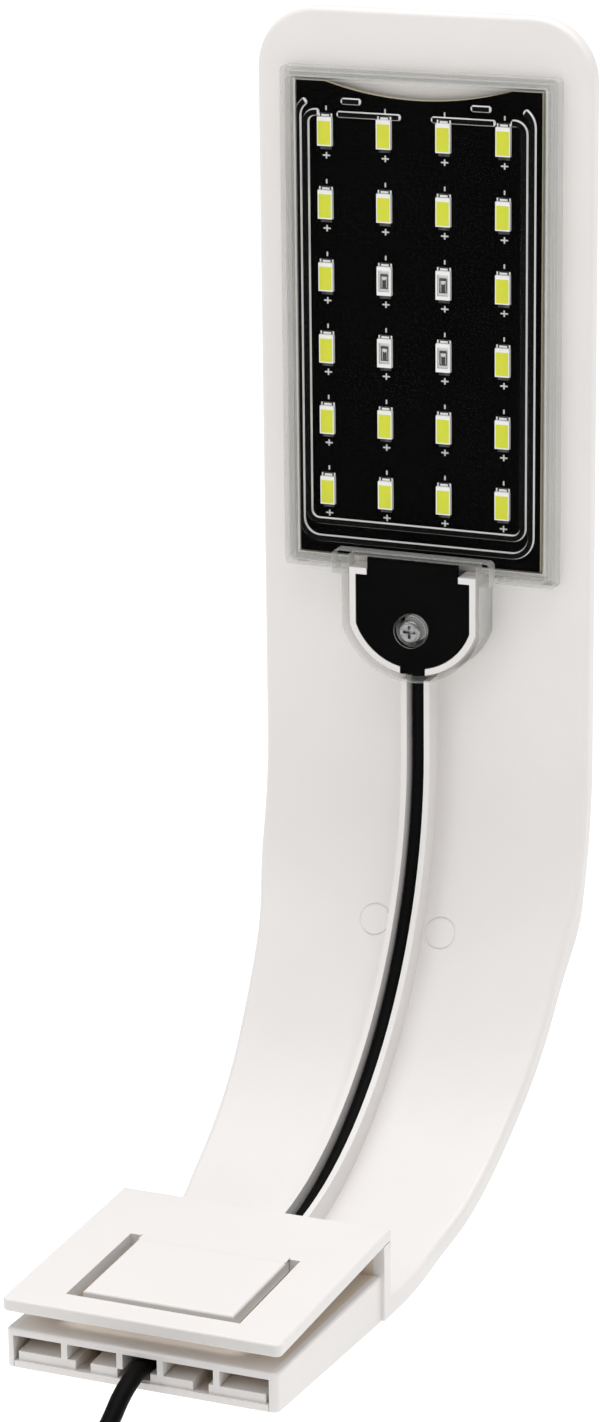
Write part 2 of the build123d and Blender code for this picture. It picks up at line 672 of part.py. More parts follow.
def entry_insert():
    """Black insert over the driver, with a saddle that holds the cord."""
    inset = ENTRY_INSET + ENTRY_WALL + PART_GAP
    half = TAB_WIDTH / 2 - inset
    shoulder = ENTRY_TOP - ENTRY_WALL - PART_GAP
    plate = front_shape(tab_outline(inset, shoulder), INSERT_BACK_Y, ENTRY_FRONT_Y)
    neck = half - ENTRY_STUB
    plate += span((-neck, neck), (ENTRY_FRONT_Y, INSERT_BACK_Y), (TAB_CORNER, ENTRY_TOP))
    mouth = ENTRY_OPEN / 2 - PART_GAP
    low = TAB_LOW + ENTRY_INSET + ENTRY_FIT
    saddle_top = CORD_END_Z
    plate += span((-mouth, mouth), (ENTRY_FRONT_Y, FACE_Y - PART_GAP), (low, saddle_top))
    plate -= rod_y(COLLAR_R + PART_GAP, 0, SCREW_Z, FACE_Y, ENTRY_FRONT_Y - 1)
    reach = CORD_R + CORD_FIT
    arch_z = (low - 1, saddle_top + 1)
    return plate - span((-reach, reach), (FACE_Y - CORD_D - CORD_FIT, FACE_Y), arch_z)


def driver_board():
    """Small board that turns the supply into the lamp board's current."""
    x = (-DRIVER_HALF, DRIVER_HALF)
    return span(x, (FACE_Y - DRIVER_THICK, FACE_Y), (DRIVER_LOW, DRIVER_TOP))


def on_driver(size, x):
    """Component on the driver board, given its width, rise and height."""
    width, rise, height = size
    back = FACE_Y - DRIVER_THICK
    z = (DRIVER_LOW + DRIVER_TOP) / 2
    return span((x - width / 2, x + width / 2), (back - rise, back), (z - height / 2, z + height / 2))


def wire(points, radius, bend):
    """Round wire through points, with its corners rounded."""
    path = FilletPolyline(*points, radius=bend)
    start = Plane(origin=path @ 0, z_dir=path % 0)
    return sweep(start * Circle(radius), path=path)


def supply_wires():
    """Live and neutral from the cord's end to the driver board, round the screw boss."""
    y = FACE_Y - DRIVER_THICK - WIRE_R
    wires = []
    for side in (-1, 1):
        points = (
            (side * (WIRE_R + 0.1), y, CORD_END_Z),
            (side * (WIRE_R + 0.1), y, CORD_END_Z + 2 * WIRE_R),
            (side * SUPPLY_WIRE_X, y, SCREW_Z - BOSS_R),
            (side * SUPPLY_WIRE_X, y, DRIVER_LOW + 2 * WIRE_R),
        )
        wires.append(wire(points, WIRE_R, 2 * WIRE_R))
    return wires


def lamp_wires():
    """Two wires from the driver board up on to the lamp board."""
    low_y = FACE_Y - DRIVER_THICK - WIRE_R
    high_y = BOARD_FRONT_Y - WIRE_R
    wires = []
    for side in (-1, 1):
        x = side * LAMP_WIRE_X
        points = (
            (x, low_y, (DRIVER_LOW + DRIVER_TOP) / 2),
            (x, low_y, DRIVER_TOP - 2 * WIRE_R),
            (x, high_y, BOARD_LOW - TRAY_FIT),
            (x, high_y, BOARD_LOW + 1.4 * WIRE_R),
        )
        wires.append(wire(points, WIRE_R, WIRE_R))
    return wires


def cord_in_arm():
    """Cord that the arm holds, from the cable entry to the clip's mouth."""
    knee = bend_point(CORD_RAIL_R, 0)
    foot = bend_point(CORD_RAIL_R, BEND_DEG)
    middle = bend_point(CORD_RAIL_R, BEND_DEG / 2)
    start = (knee[0], CORD_END_Z)
    path = Line(start, knee) + ThreePointArc(knee, middle, foot)
    path += Line(foot, root_point(CORD_RAIL_R, -JAW_REACH))
    path = Plane.YZ * path
    section = Plane(origin=(0, start[0], start[1]), z_dir=(0, 0, -1)) * Circle(CORD_R)
    return sweep(section, path=path)


def cord_exit():
    """Point where the cord leaves the clip."""
    return (0.0, -JAW_REACH, cord_z_at(-JAW_REACH))


def first_route():
    """Cord from the clip down to the floor and on to the coil."""
    coil_z = COIL_Z + CORD_R
    return [
        cord_exit(),
        (0.0, -57.4, -4.4),
        (-0.3, -65.0, LIE_Z + 0.3),
        (-3.6, -74.5, LIE_Z),
        (-12.4, -84.0, LIE_Z),
        (COIL_LEFT_X, COIL_CENTRE[1], coil_z),
    ]


def second_route():
    """Cord from the coil's top layer to the switch."""
    return [
        (COIL_LEFT_X, COIL_CENTRE[1], COIL_Z + COIL_HIGH - CORD_R),
        (COIL_LEFT_X - 0.9, -109.0, -8.3),
        (SWITCH_AT[0], SWITCH_NEAR_Y, SWITCH_CORD_Z),
    ]


def third_route():
    """Cord from the switch round to the plug."""
    return [
        (SWITCH_AT[0], SWITCH_FAR_Y, SWITCH_CORD_Z),
        (-20.1, -178.0, -10.2),
        (-21.6, -192.0, LIE_Z),
        (-22.6, -207.0, LIE_Z),
        (-20.6, -221.0, LIE_Z),
        (-10.3, -231.4, LIE_Z),
        (4.6, -231.8, LIE_Z + 0.3),
        (14.6, -222.0, -8.2),
        (PLUG_AT[0], RELIEF_END_Y, PLUG_MID_Z),
    ]


def corner_radii(points):
    """Largest arcs that the runs on both sides of each corner allow."""
    spots = [Vector(*p) for p in points]
    radii = []
    for before, at, after in zip(spots, spots[1:], spots[2:]):
        turn = radians((at - before).get_angle(after - at))
        shorter = min((at - before).length, (after - at).length)
        radii.append(0.45 * shorter / tan(turn / 2))
    return radii


def cord_tube(name, points):
    """Round cord along a route of straight runs and tangent arcs."""
    radii = corner_radii(points)
    path = FilletPolyline(*points, radius=radii)
    start = Plane(origin=path @ 0, z_dir=path % 0)
    tube = sweep(start * Circle(CORD_R), path=path)
    drawn = pi * CORD_R**2 * path.length
    print(name, "radii", [round(r, 1) for r in radii], "length", round(path.length, 1))
    print(name, "volume over section times length", round(tube.volume / drawn, 4))
    return tube


def coil_ring(grow):
    """Ring that a wound cord fills, made larger all round by an amount."""
    outer = Circle(COIL_OUT_R + grow) - Circle(COIL_IN_R - grow)
    base = Plane(origin=(*COIL_CENTRE, COIL_Z - grow))
    return extrude(base * outer, COIL_HIGH + 2 * grow)


def coil_tie():
    """Band round the coil's turns."""
    reach = COIL_OUT_R + 2 * TIE_THICK
    half = TIE_WIDTH / 2
    strip = span((0, reach), (-half, half), (COIL_Z - TIE_THICK, COIL_Z + COIL_HIGH + TIE_THICK))
    strip = Pos(*COIL_CENTRE) * Rot(0, 0, TIE_AT_DEG) * strip
    return (coil_ring(TIE_THICK) & strip) - coil_ring(0)


def switch_place(x, y, z):
    """Limits of a box given from the switch's middle and the floor."""
    return span(
        (SWITCH_AT[0] + x[0], SWITCH_AT[0] + x[1]),
        (SWITCH_AT[1] + y[0], SWITCH_AT[1] + y[1]),
        (FLOOR_Z + z[0], FLOOR_Z + z[1]),
    )


def switch_body():
    """Whole switch body, hollow inside."""
    half_x = SWITCH_WIDTH / 2
    half_y = SWITCH_LENGTH / 2
    body = switch_place((-half_x, half_x), (-half_y, half_y), (0, SWITCH_HEIGHT))
    body = fillet(body.edges().filter_by(Axis.Z), SWITCH_EDGE_R)
    body = fillet(body.faces().sort_by(Axis.Z)[-1].edges(), SWITCH_WALL)
    wall = SWITCH_WALL
    hollow_x = half_x - wall
    hollow_y = half_y - 2 * wall
    inside = (wall, SWITCH_HEIGHT - wall)
    return body - switch_place((-hollow_x, hollow_x), (-hollow_y, hollow_y), inside)


def rocker_half():
    """Half the room along Y that the rocker needs as it tips."""
    return sqrt((ROCKER_LENGTH / 2) ** 2 + ROCKER_TOP**2) + ROCKER_GAP


def pivot_rod(radius, half_length):
    """Round rod along the rocker's pivot."""
    middle = (SWITCH_AT[1], PIVOT_Z)
    rod = side_shape(Pos(*middle) * Circle(radius).edges()[0], -half_length, half_length)
    return Pos(SWITCH_AT[0], 0, 0) * rod


def switch_top():
    """Upper half of the switch body, with the rocker's window and its bearings."""
    full = SWITCH_WIDTH
    half = switch_place((-full, full), (-2 * full, 2 * full), (SWITCH_HEIGHT / 2, 2 * SWITCH_HEIGHT))
    top = switch_body() & half
    slot = ROCKER_WIDTH / 2 + ROCKER_GAP
    high = (SWITCH_HEIGHT / 2, 2 * SWITCH_HEIGHT)
    window_y = rocker_half()
    top -= switch_place((-slot, slot), (-window_y, window_y), high)
    ear_z = (SWITCH_HEIGHT - PIVOT_DEEP - 2 * PIVOT_R, SWITCH_HEIGHT - SWITCH_WALL / 2)
    for side in (-1, 1):
        x = sorted((side * slot, side * (slot + EAR_THICK)))
        top += switch_place(x, (-2 * PIVOT_R, 2 * PIVOT_R), ear_z)
    return top - pivot_rod(PIVOT_R + PIVOT_FIT, slot + EAR_THICK + 1)


def switch_bottom():
    """Lower half of the switch body."""
    full = SWITCH_WIDTH
    half = switch_place((-full, full), (-2 * full, 2 * full), (-1, SWITCH_HEIGHT / 2))
    return switch_body() & half


def rocker():
    """Rocker with a dished top, tipped to its off side."""
    y = SWITCH_AT[1]
    half = ROCKER_LENGTH / 2
    top = PIVOT_Z + ROCKER_TOP
    low = PIVOT_Z - ROCKER_DEPTH
    outline = Polyline(
        (y - half, top),
        (y, top - ROCKER_DISH),
        (y + half, top),
        (y + half - ROCKER_DEPTH, low),
        (y - half + ROCKER_DEPTH, low),
        close=True,
    )
    half_x = ROCKER_WIDTH / 2
    key = Pos(SWITCH_AT[0], 0, 0) * side_shape(outline, -half_x, half_x)
    key += pivot_rod(PIVOT_R, half_x + ROCKER_GAP + EAR_THICK)
    pivot = Pos(0, y, PIVOT_Z)
    return pivot * Rot(ROCKER_TILT, 0, 0) * pivot.inverse() * key


def switch_contacts():
    """Two brass strips on the switch's floor, each with a post under one end of the rocker."""
    strips = []
    x = (CORD_R + CONTACT_THICK, ROCKER_WIDTH / 2)
    post_in = ROCKER_LENGTH / 4
    post_top = SWITCH_HEIGHT - PIVOT_DEEP - ROCKER_DEPTH - 3 * ROCKER_GAP
    for side in (-1, 1):
        strip_y = sorted((side * post_in, side * ROCKER_LENGTH))
        post_y = sorted((side * post_in, side * (post_in + CONTACT_THICK)))
        strip = switch_place(x, strip_y, (SWITCH_WALL, SWITCH_WALL + CONTACT_THICK))
        strips.append(strip + switch_place(x, post_y, (SWITCH_WALL, post_top)))
    return strips


def plug_outline():
    """Plan of the plug body, narrowing towards the cord."""
    x, y = PLUG_AT
    half = PLUG_WIDTH / 2
    shoulder = y - PLUG_LENGTH + PLUG_NOSE
    neck = RELIEF_R + 2 * PLUG_EDGE_R
    return Polyline(
        (x - half, y),
        (x + half, y),
        (x + half, shoulder),
        (x + neck, PLUG_REAR_Y),
        (x - neck, PLUG_REAR_Y),
        (x - half, shoulder),
        close=True,
    )


def pin_rods(radius, back, front):
    """Two round rods along Y at the plug's pin spacing."""
    rods = []
    for side in (-1, 1):
        x = PLUG_AT[0] + side * PIN_SPACING / 2
        rods.append(rod_y(radius, x, PLUG_MID_Z, back, front))
    return rods


def plug_pins():
    """Metal pins: full size at the tip, thinner under the sleeve and inside the body."""
    y = PLUG_AT[1]
    tips = pin_rods(PIN_R, y + PIN_LENGTH, y + SLEEVE_LENGTH)
    cores = pin_rods(PIN_CORE_R, y + SLEEVE_LENGTH, y - PIN_INSIDE)
    pins = []
    for tip, core in zip(tips, cores):
        tip = fillet(tip.edges().sort_by(Axis.Y)[-1], PIN_R * 0.6)
        pins.append(tip + core)
    return pins


def pin_sleeves():
    """Insulating sleeves round the pins: full size outside, with a thinner neck into the body."""
    y = PLUG_AT[1]
    outer = pin_rods(PIN_R, y + SLEEVE_LENGTH, y + SLEEVE_NECK)
    necks = pin_rods(SLEEVE_NECK_R, y + SLEEVE_NECK, y - PIN_INSIDE / 2)
    inner = pin_rods(PIN_CORE_R, y + PIN_LENGTH, y - PIN_INSIDE)
    return [a + b - c for a, b, c in zip(outer, necks, inner)]


def plug_body():
    """Flat plug body, with holes for its pins."""
    body = extrude(Plane.XY.offset(FLOOR_Z) * make_face(plug_outline()), PLUG_HEIGHT)
    body = fillet(body.edges().filter_by(Axis.Z), PLUG_EDGE_R)
    body = fillet(body.faces().sort_by(Axis.Z)[-1].edges(), PLUG_EDGE_R)
    y = PLUG_AT[1]
    for rod in pin_rods(SLEEVE_NECK_R, y, y - PIN_INSIDE / 2):
        body -= rod
    for rod in pin_rods(PIN_CORE_R, y, y - PIN_INSIDE):
        body -= rod
    return body


def plug_relief():
    """Tapered strain relief behind the plug."""
    axis = Plane(origin=(PLUG_AT[0], PLUG_REAR_Y, PLUG_MID_Z), z_dir=(0, -1, 0))
    cone = Cone(RELIEF_R, CORD_R + 0.5, RELIEF_LENGTH)
    return axis * Pos(0, 0, RELIEF_LENGTH / 2) * cone


def cord_nodes():
    """The free cord, its coil and what is on it."""
    coil = coil_ring(0)
    relief = plug_relief()
    switch = switch_body()
    return {
        "cord_lead": cord_tube("cord_lead", first_route()) - coil - cord_in_arm(),
        "cord_coil": coil,
        "coil_tie": coil_tie(),
        "cord_to_switch": cord_tube("cord_to_switch", second_route()) - coil - switch,
        "cord_to_plug": cord_tube("cord_to_plug", third_route()) - switch - relief,
        "switch_top": switch_top(),
        "switch_bottom": switch_bottom(),
        "switch_contacts": group(switch_contacts()),
        "switch_rocker": rocker(),
        "plug_body": plug_body(),
        "plug_pins": group(plug_pins()),
        "plug_pin_sleeves": group(pin_sleeves()),
        "plug_strain_relief": relief,
    }


def lamp_nodes():
    """The lamp panel, its cover and the cable entry."""
    white = [place[:2] for place in led_places() if not place[2]]
    blue = [place[:2] for place in led_places() if place[2]]
    return {
        "lamp_board": lamp_board(),
        "thermal_pad": thermal_pad(),
        "led_bodies_white": group([led_housing(x, z) for x, z in white]),
        "led_phosphor": group([led_window(x, z) for x, z in white]),
        "led_bodies_blue": group([led_housing(x, z) for x, z in blue]),
        "led_windows_blue": group([led_window(x, z) for x, z in blue]),
        "solder_pads": group(solder_pads()),
        "lens_cover": lens_cover(),
        "cover_seal": cover_seal(),
        "cover_screw": cover_screw(),
        "entry_insert": entry_insert(),
        "driver_board": driver_board(),
        "bridge_rectifier": on_driver(BRIDGE, BRIDGE_X),
        "driver_chip": on_driver(DRIVER_CHIP, CHIP_X),
        "driver_resistors": group([on_driver(RESISTOR, x) for x in RESISTOR_AT]),
        "supply_wires": group(supply_wires()),
        "lamp_wires": group(lamp_wires()),
    }


def all_nodes():
    """Every node of the light by name."""
    nodes = {
        "arm_shell": arm_shell(),
        "clip_tongue": clip_tongue(),
        "clip_bottom_cover": bottom_cover(),
        "cord_in_arm": cord_in_arm(),
    }
    nodes.update(lamp_nodes())
    nodes.update(cord_nodes())
    return nodes


os.makedirs("parts", exist_ok=True)
for node, shape in all_nodes().items():
    export_step(shape, f"parts/{node}.step")
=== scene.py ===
"""Looks of a clip-on LED aquarium light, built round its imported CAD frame.

Metres. The frame is the CAD model's own: the origin is the seat of the glass slot, +X is to the right,
-Y comes out of the slot's mouth towards the viewer and +Z runs up along the lamp panel.
"""

import json
import logging
from dataclasses import dataclass
from enum import Enum
from math import cos, pi, radians, sin
from typing import Callable

import bmesh
import bpy
from mathutils import Matrix, Vector


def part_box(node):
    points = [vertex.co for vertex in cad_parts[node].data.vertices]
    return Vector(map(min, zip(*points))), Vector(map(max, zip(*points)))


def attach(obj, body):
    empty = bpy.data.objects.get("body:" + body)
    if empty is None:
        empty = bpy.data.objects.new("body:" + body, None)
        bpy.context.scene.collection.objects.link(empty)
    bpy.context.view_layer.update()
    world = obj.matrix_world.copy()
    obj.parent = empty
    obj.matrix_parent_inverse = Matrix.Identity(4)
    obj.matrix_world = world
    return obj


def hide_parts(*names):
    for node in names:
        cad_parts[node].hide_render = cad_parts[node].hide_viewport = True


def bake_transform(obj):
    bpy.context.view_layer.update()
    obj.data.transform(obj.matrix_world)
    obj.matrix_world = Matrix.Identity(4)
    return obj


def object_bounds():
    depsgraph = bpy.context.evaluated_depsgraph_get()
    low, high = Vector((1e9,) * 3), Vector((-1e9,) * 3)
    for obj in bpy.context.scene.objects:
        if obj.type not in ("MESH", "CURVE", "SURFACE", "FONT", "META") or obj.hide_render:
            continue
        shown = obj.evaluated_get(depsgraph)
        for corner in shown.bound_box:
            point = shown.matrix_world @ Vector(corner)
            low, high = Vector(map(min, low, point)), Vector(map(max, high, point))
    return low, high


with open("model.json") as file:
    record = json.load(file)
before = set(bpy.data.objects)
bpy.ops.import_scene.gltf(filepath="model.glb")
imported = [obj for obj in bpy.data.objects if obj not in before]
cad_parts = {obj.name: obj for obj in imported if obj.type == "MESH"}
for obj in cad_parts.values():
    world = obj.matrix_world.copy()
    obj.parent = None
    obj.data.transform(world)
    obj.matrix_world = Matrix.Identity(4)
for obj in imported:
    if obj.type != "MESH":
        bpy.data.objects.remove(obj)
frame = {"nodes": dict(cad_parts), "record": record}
CAD_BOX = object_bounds()
LOG = logging.getLogger("aquarium_light")
MM = 0.001

WINDOW_RISE = 4.55
FACE_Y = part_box("lens_cover")[1][1] / MM
BOARD_FRONT_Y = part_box("lamp_board")[0][1] / MM
LED_FRONT_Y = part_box("led_bodies_white")[0][1] / MM
WINDOW_FRONT_Y = FACE_Y - WINDOW_RISE
NEAR = 0.01
RIDGE_SUNK = 0.05
RIDGE_TOP_SHARE = 0.72
RIDGE_END = 0.35
RIDGE_END_SHARE = 0.45

Colour = tuple[float, float, float]
Point = tuple[float, float, float]
Value = float | bpy.types.NodeSocket
LEVEL: Point = (90.0, 0.0, 0.0)


class Body(Enum):
    """The parts of the light that its new pieces move with."""

    LIGHT = "light"
    TONGUE = "tongue"


class Slot(Enum):
    """The record's material slots."""

    WHITE_ABS = "white_abs"
    CLEAR_COVER = "clear_cover"
    BOARD_BLACK = "board_black"
    LED_BODY = "led_body"
    PHOSPHOR = "phosphor"
    LED_CLEAR = "led_clear"
    SOLDER = "solder"
    SEAL = "seal_silicone"
    PAD = "pad_grey"
    SCREW = "screw_nickel"
    INSERT = "black_insert"
    DRIVER = "driver_green"
    CHIP = "chip_black"
    WIRE = "wire_skin"
    CORD = "cord_pvc"
    TIE = "tie_black"
    SWITCH = "switch_black"
    BRASS = "brass_strip"
    PIN = "pin_nickel"


# ---------------------------------------------------------------- node graphs


class Graph:
    """Adds and joins nodes in one shader tree."""

    def __init__(self, tree: bpy.types.NodeTree) -> None:
        """Keeps the tree that nodes are added to."""
        self.tree = tree

    def add(self, kind: str, inputs: dict | None = None, **settings: object) -> bpy.types.Node:
        """Adds a node.

        Args:
            kind: the node type's name, such as ShaderNodeTexNoise.
            inputs: values or output sockets for named inputs.
            settings: attributes of the node.

        Returns:
            The new node.
        """
        node = self.tree.nodes.new(kind)
        for name, value in settings.items():
            setattr(node, name, value)
        for name, value in (inputs or {}).items():
            if isinstance(value, bpy.types.NodeSocket):
                self.tree.links.new(value, node.inputs[name])
            else:
                node.inputs[name].default_value = value
        return node

    def maths(self, operation: str, first: Value, second: Value = 0.0) -> bpy.types.NodeSocket:
        """Adds a Math node and gives its output."""
        return self.add("ShaderNodeMath", {0: first, 1: second}, operation=operation).outputs[0]

    def mix(self, factor: Value, first: Value | Colour, second: Value | Colour) -> bpy.types.NodeSocket:
        """Blends two colours.

        Args:
            factor: a number or an output socket.
            first: the colour at 0.
            second: the colour at 1.

        Returns:
            The blended colour.
        """
        node = self.add("ShaderNodeMix", {"Factor": factor}, data_type="RGBA")
        for name, value in (("A_Color", first), ("B_Color", second)):
            socket = next(s for s in node.inputs if s.identifier == name)
            if isinstance(value, bpy.types.NodeSocket):
                self.tree.links.new(value, socket)
            else:
                socket.default_value = (*value[:3], 1.0)
        return next(s for s in node.outputs if s.identifier == "Result_Color")


class SharedEffects:
    """Shader node groups that several finishes use."""

    _made: dict[str, bpy.types.NodeTree] = {}

    @classmethod
    def mottle(cls) -> bpy.types.NodeTree:
        """Colour and roughness that drift gently over a moulded surface.

        Returns:
            A group: Light, Dark, Size, Roughness and Spread in, Colour and Roughness out.
        """
        if "mottle" in cls._made:
            return cls._made["mottle"]
        tree = cls._group(
            "moulding_mottle",
            (
                ("Light", "Color"),
                ("Dark", "Color"),
                ("Size", "Float"),
                ("Roughness", "Float"),
                ("Spread", "Float"),
            ),
            (("Colour", "Color"), ("Roughness", "Float")),
        )
        graph = Graph(tree)
        ends = tree.nodes["ends_in"], tree.nodes["ends_out"]
        place = graph.add("ShaderNodeTexCoord")
        noise = graph.add(
            "ShaderNodeTexNoise",
            {
                "Vector": place.outputs["Object"],
                "Scale": ends[0].outputs["Size"],
                "Detail": 5.0,
                "Roughness": 0.55,
            },
        )
        amount = graph.add(
            "ShaderNodeMapRange",
            {"Value": noise.outputs["Fac"], "From Min": 0.3, "From Max": 0.7},
        ).outputs["Result"]
        colour = graph.mix(amount, ends[0].outputs["Light"], ends[0].outputs["Dark"])
        swing = graph.maths("MULTIPLY", graph.maths("SUBTRACT", amount, 0.5), ends[0].outputs["Spread"])
        rough = graph.maths("ADD", ends[0].outputs["Roughness"], swing)
        tree.links.new(colour, ends[1].inputs["Colour"])
        tree.links.new(rough, ends[1].inputs["Roughness"])
        cls._made["mottle"] = tree
        return tree

    @classmethod
    def grain(cls) -> bpy.types.NodeTree:
        """Fine spark-eroded grain of a mould, as a height.

        Returns:
            A group: Size and Depth in, Height out.
        """
        if "grain" in cls._made:
            return cls._made["grain"]
        tree = cls._group("mould_grain", (("Size", "Float"), ("Depth", "Float")), (("Height", "Float"),))
        graph = Graph(tree)
        ends = tree.nodes["ends_in"], tree.nodes["ends_out"]
        place = graph.add("ShaderNodeTexCoord")
        fine = graph.add(
            "ShaderNodeTexNoise",
            {
                "Vector": place.outputs["Object"],
                "Scale": ends[0].outputs["Size"],
                "Detail": 3.0,
                "Roughness": 0.6,
            },
        )
        slow = graph.add(
            "ShaderNodeTexNoise",
            {"Vector": place.outputs["Object"], "Scale": 60.0, "Detail": 2.0},
        )
        total = graph.maths("ADD", fine.outputs["Fac"], graph.maths("MULTIPLY", slow.outputs["Fac"], 0.8))
        tree.links.new(graph.maths("MULTIPLY", total, ends[0].outputs["Depth"]), ends[1].inputs["Height"])
        cls._made["grain"] = tree
        return tree

    @staticmethod
    def _group(name: str, inputs: tuple, outputs: tuple) -> bpy.types.NodeTree:
        """Makes an empty group with its sockets.

        Args:
            name: the group's name.
            inputs: name and kind of each input.
            outputs: name and kind of each output.

        Returns:
            The group, with nodes named ends_in and ends_out.
        """
        tree = bpy.data.node_groups.new(name, "ShaderNodeTree")
        for label, kind in inputs:
            tree.interface.new_socket(label, in_out="INPUT", socket_type="NodeSocket" + kind)
        for label, kind in outputs:
            tree.interface.new_socket(label, in_out="OUTPUT", socket_type="NodeSocket" + kind)
        tree.nodes.new("NodeGroupInput").name = "ends_in"
        tree.nodes.new("NodeGroupOutput").name = "ends_out"
        return tree


# ---------------------------------------------------------------- finishes


@dataclass(frozen=True)
class Finish:
    """A solid finish with a gentle mottle and a fine grain."""

    name: str
    light: Colour
    dark: Colour
    roughness: float
    spread: float = 0.06
    mottle_size: float = 90.0
    grain_size: float = 5200.0
    grain_depth: float = 0.02
    metallic: float = 0.0
    specular: float = 0.5
    glow: float = 0.0

    def material(self) -> bpy.types.Material:
        """Builds the material.

        Returns:
            The new material.
        """
        material = bpy.data.materials.new(self.name)
        material.use_nodes = True
        material.node_tree.nodes.clear()
        graph = Graph(material.node_tree)
        shader = graph.add("ShaderNodeBsdfPrincipled", {"Metallic": self.metallic})
        shader.inputs["Specular IOR Level"].default_value = self.specular
        shader.inputs["Emission Color"].default_value = (*self.light, 1.0)
        shader.inputs["Emission Strength"].default_value = self.glow
        self.dress(graph, shader)
        graph.add("ShaderNodeOutputMaterial", {"Surface": shader.outputs["BSDF"]})
        return material

    def dress(self, graph: Graph, shader: bpy.types.Node) -> None:
        """Feeds the shader its colour, roughness and grain.

        Args:
            graph: the material's tree.
            shader: the Principled shader.
        """
        mottle = graph.add("ShaderNodeGroup")
        mottle.node_tree = SharedEffects.mottle()
        mottle.inputs["Light"].default_value = (*self.light, 1.0)
        mottle.inputs["Dark"].default_value = (*self.dark, 1.0)
        mottle.inputs["Size"].default_value = self.mottle_size
        mottle.inputs["Roughness"].default_value = self.roughness
        mottle.inputs["Spread"].default_value = self.spread
        graph.tree.links.new(mottle.outputs["Colour"], shader.inputs["Base Color"])
        graph.tree.links.new(mottle.outputs["Roughness"], shader.inputs["Roughness"])
        graph.tree.links.new(self.bump(graph), shader.inputs["Normal"])

    def bump(self, graph: Graph) -> bpy.types.NodeSocket:
        """Adds the fine grain.

        Args:
            graph: the material's tree.

        Returns:
            The normal that the grain gives.
        """
        grain = graph.add("ShaderNodeGroup")
        grain.node_tree = SharedEffects.grain()
        grain.inputs["Size"].default_value = self.grain_size
        grain.inputs["Depth"].default_value = self.grain_depth * MM
        bump = graph.add("ShaderNodeBump", {"Height": grain.outputs["Height"], "Distance": 1.0})
        return bump.outputs["Normal"]


@dataclass(frozen=True)
class ClearPlastic(Finish):
    """Clear moulded plastic: its face lets the light through, and its walls get a painted highlight."""

    face_alpha: float = 0.006
    # Opacity of the painted highlight on the walls, which face sideways.
    wall_highlight_alpha: float = 0.42
    ledge_alpha: float = 0.006
    ledge_y: float = 1.0

    def dress(self, graph: Graph, shader: bpy.types.Node) -> None:
        """Makes the faces that look forwards clear and paints the walls between them with a near-opaque pale
        highlight, chosen by the way each face points.

        Args:
            graph: the material's tree.
            shader: the Principled shader.
        """
        super().dress(graph, shader)
        place = graph.add("ShaderNodeTexCoord")
        facing = graph.add("ShaderNodeSeparateXYZ", {"Vector": place.outputs["Normal"]}).outputs["Y"]
        where = graph.add("ShaderNodeSeparateXYZ", {"Vector": place.outputs["Object"]}).outputs["Y"]
        wall = graph.maths("LESS_THAN", graph.maths("ABSOLUTE", facing), 0.85)
        ledge = graph.maths("GREATER_THAN", where, self.ledge_y)
        step = graph.maths("MULTIPLY", ledge, self.ledge_alpha - self.face_alpha)
        face = graph.maths("ADD", step, self.face_alpha)
        clear = graph.maths("MULTIPLY", graph.maths("SUBTRACT", 1.0, wall), face)
        # Painted highlight: walls seen edge-on are made near-opaque in the pale finish colour.
        painted_wall_highlight = graph.maths("MULTIPLY", wall, self.wall_highlight_alpha)
        graph.tree.links.new(graph.maths("ADD", clear, painted_wall_highlight), shader.inputs["Alpha"])


@dataclass(frozen=True)
class CutBoard(Finish):
    """Lacquered circuit board whose sawn edges show the bare laminate."""

    edge: Colour = (0.62, 0.56, 0.42)

    def dress(self, graph: Graph, shader: bpy.types.Node) -> None:
        """Colours the faces with lacquer and the edges with laminate.

        Args:
            graph: the material's tree.
            shader: the Principled shader.
        """
        super().dress(graph, shader)
        lacquer = shader.inputs["Base Color"].links[0].from_socket
        place = graph.add("ShaderNodeTexCoord")
        facing = graph.add("ShaderNodeSeparateXYZ", {"Vector": place.outputs["Normal"]}).outputs["Y"]
        sawn = graph.maths("LESS_THAN", graph.maths("ABSOLUTE", facing), 0.7)
        graph.tree.links.new(graph.mix(sawn, lacquer, self.edge), shader.inputs["Base Color"])


@dataclass(frozen=True)
class ShellPlasticWithPaintedShade(Finish):
    """White moulded plastic with painted shade: warmer and darker inside the clip, where the hollow is shaded
    and lit by warm bounced light.
    """

    # Painted shade: the warm, darker colour put into the clip's hollow, and the box that it fills; it reaches
    # full strength at depth full.
    inside: Colour = (0.74, 0.64, 0.53)
    half_width: float = 25.3 * MM
    front: float = -50.2 * MM
    full: float = -42.0 * MM
    rear: float = 0.2 * MM
    low: float = -12.6 * MM
    high: float = 2.98 * MM

    def dress(self, graph: Graph, shader: bpy.types.Node) -> None:
        """Paints warm shade on what lies inside the clip, growing deeper towards the back of the slot.

        Args:
            graph: the material's tree.
            shader: the Principled shader.
        """
        super().dress(graph, shader)
        plain = shader.inputs["Base Color"].links[0].from_socket
        place = graph.add("ShaderNodeTexCoord")
        axes = graph.add("ShaderNodeSeparateXYZ", {"Vector": place.outputs["Object"]}).outputs
        # Painted shade: a box mask inside the clip, ramped from the mouth towards the back.
        painted_shade_mask = graph.maths("LESS_THAN", graph.maths("ABSOLUTE", axes["X"]), self.half_width)
        for axis, low, high in (("Y", self.front, self.rear), ("Z", self.low, self.high)):
            painted_shade_mask = graph.maths("MULTIPLY", painted_shade_mask, graph.maths("GREATER_THAN", axes[axis], low))
            painted_shade_mask = graph.maths("MULTIPLY", painted_shade_mask, graph.maths("LESS_THAN", axes[axis], high))
        ramp = {"Value": axes["Y"], "From Min": self.front, "From Max": self.full}
        depth = graph.add("ShaderNodeMapRange", ramp)
        painted_shade_mask = graph.maths("MULTIPLY", painted_shade_mask, depth.outputs["Result"])
        graph.tree.links.new(graph.mix(painted_shade_mask, plain, self.inside), shader.inputs["Base Color"])


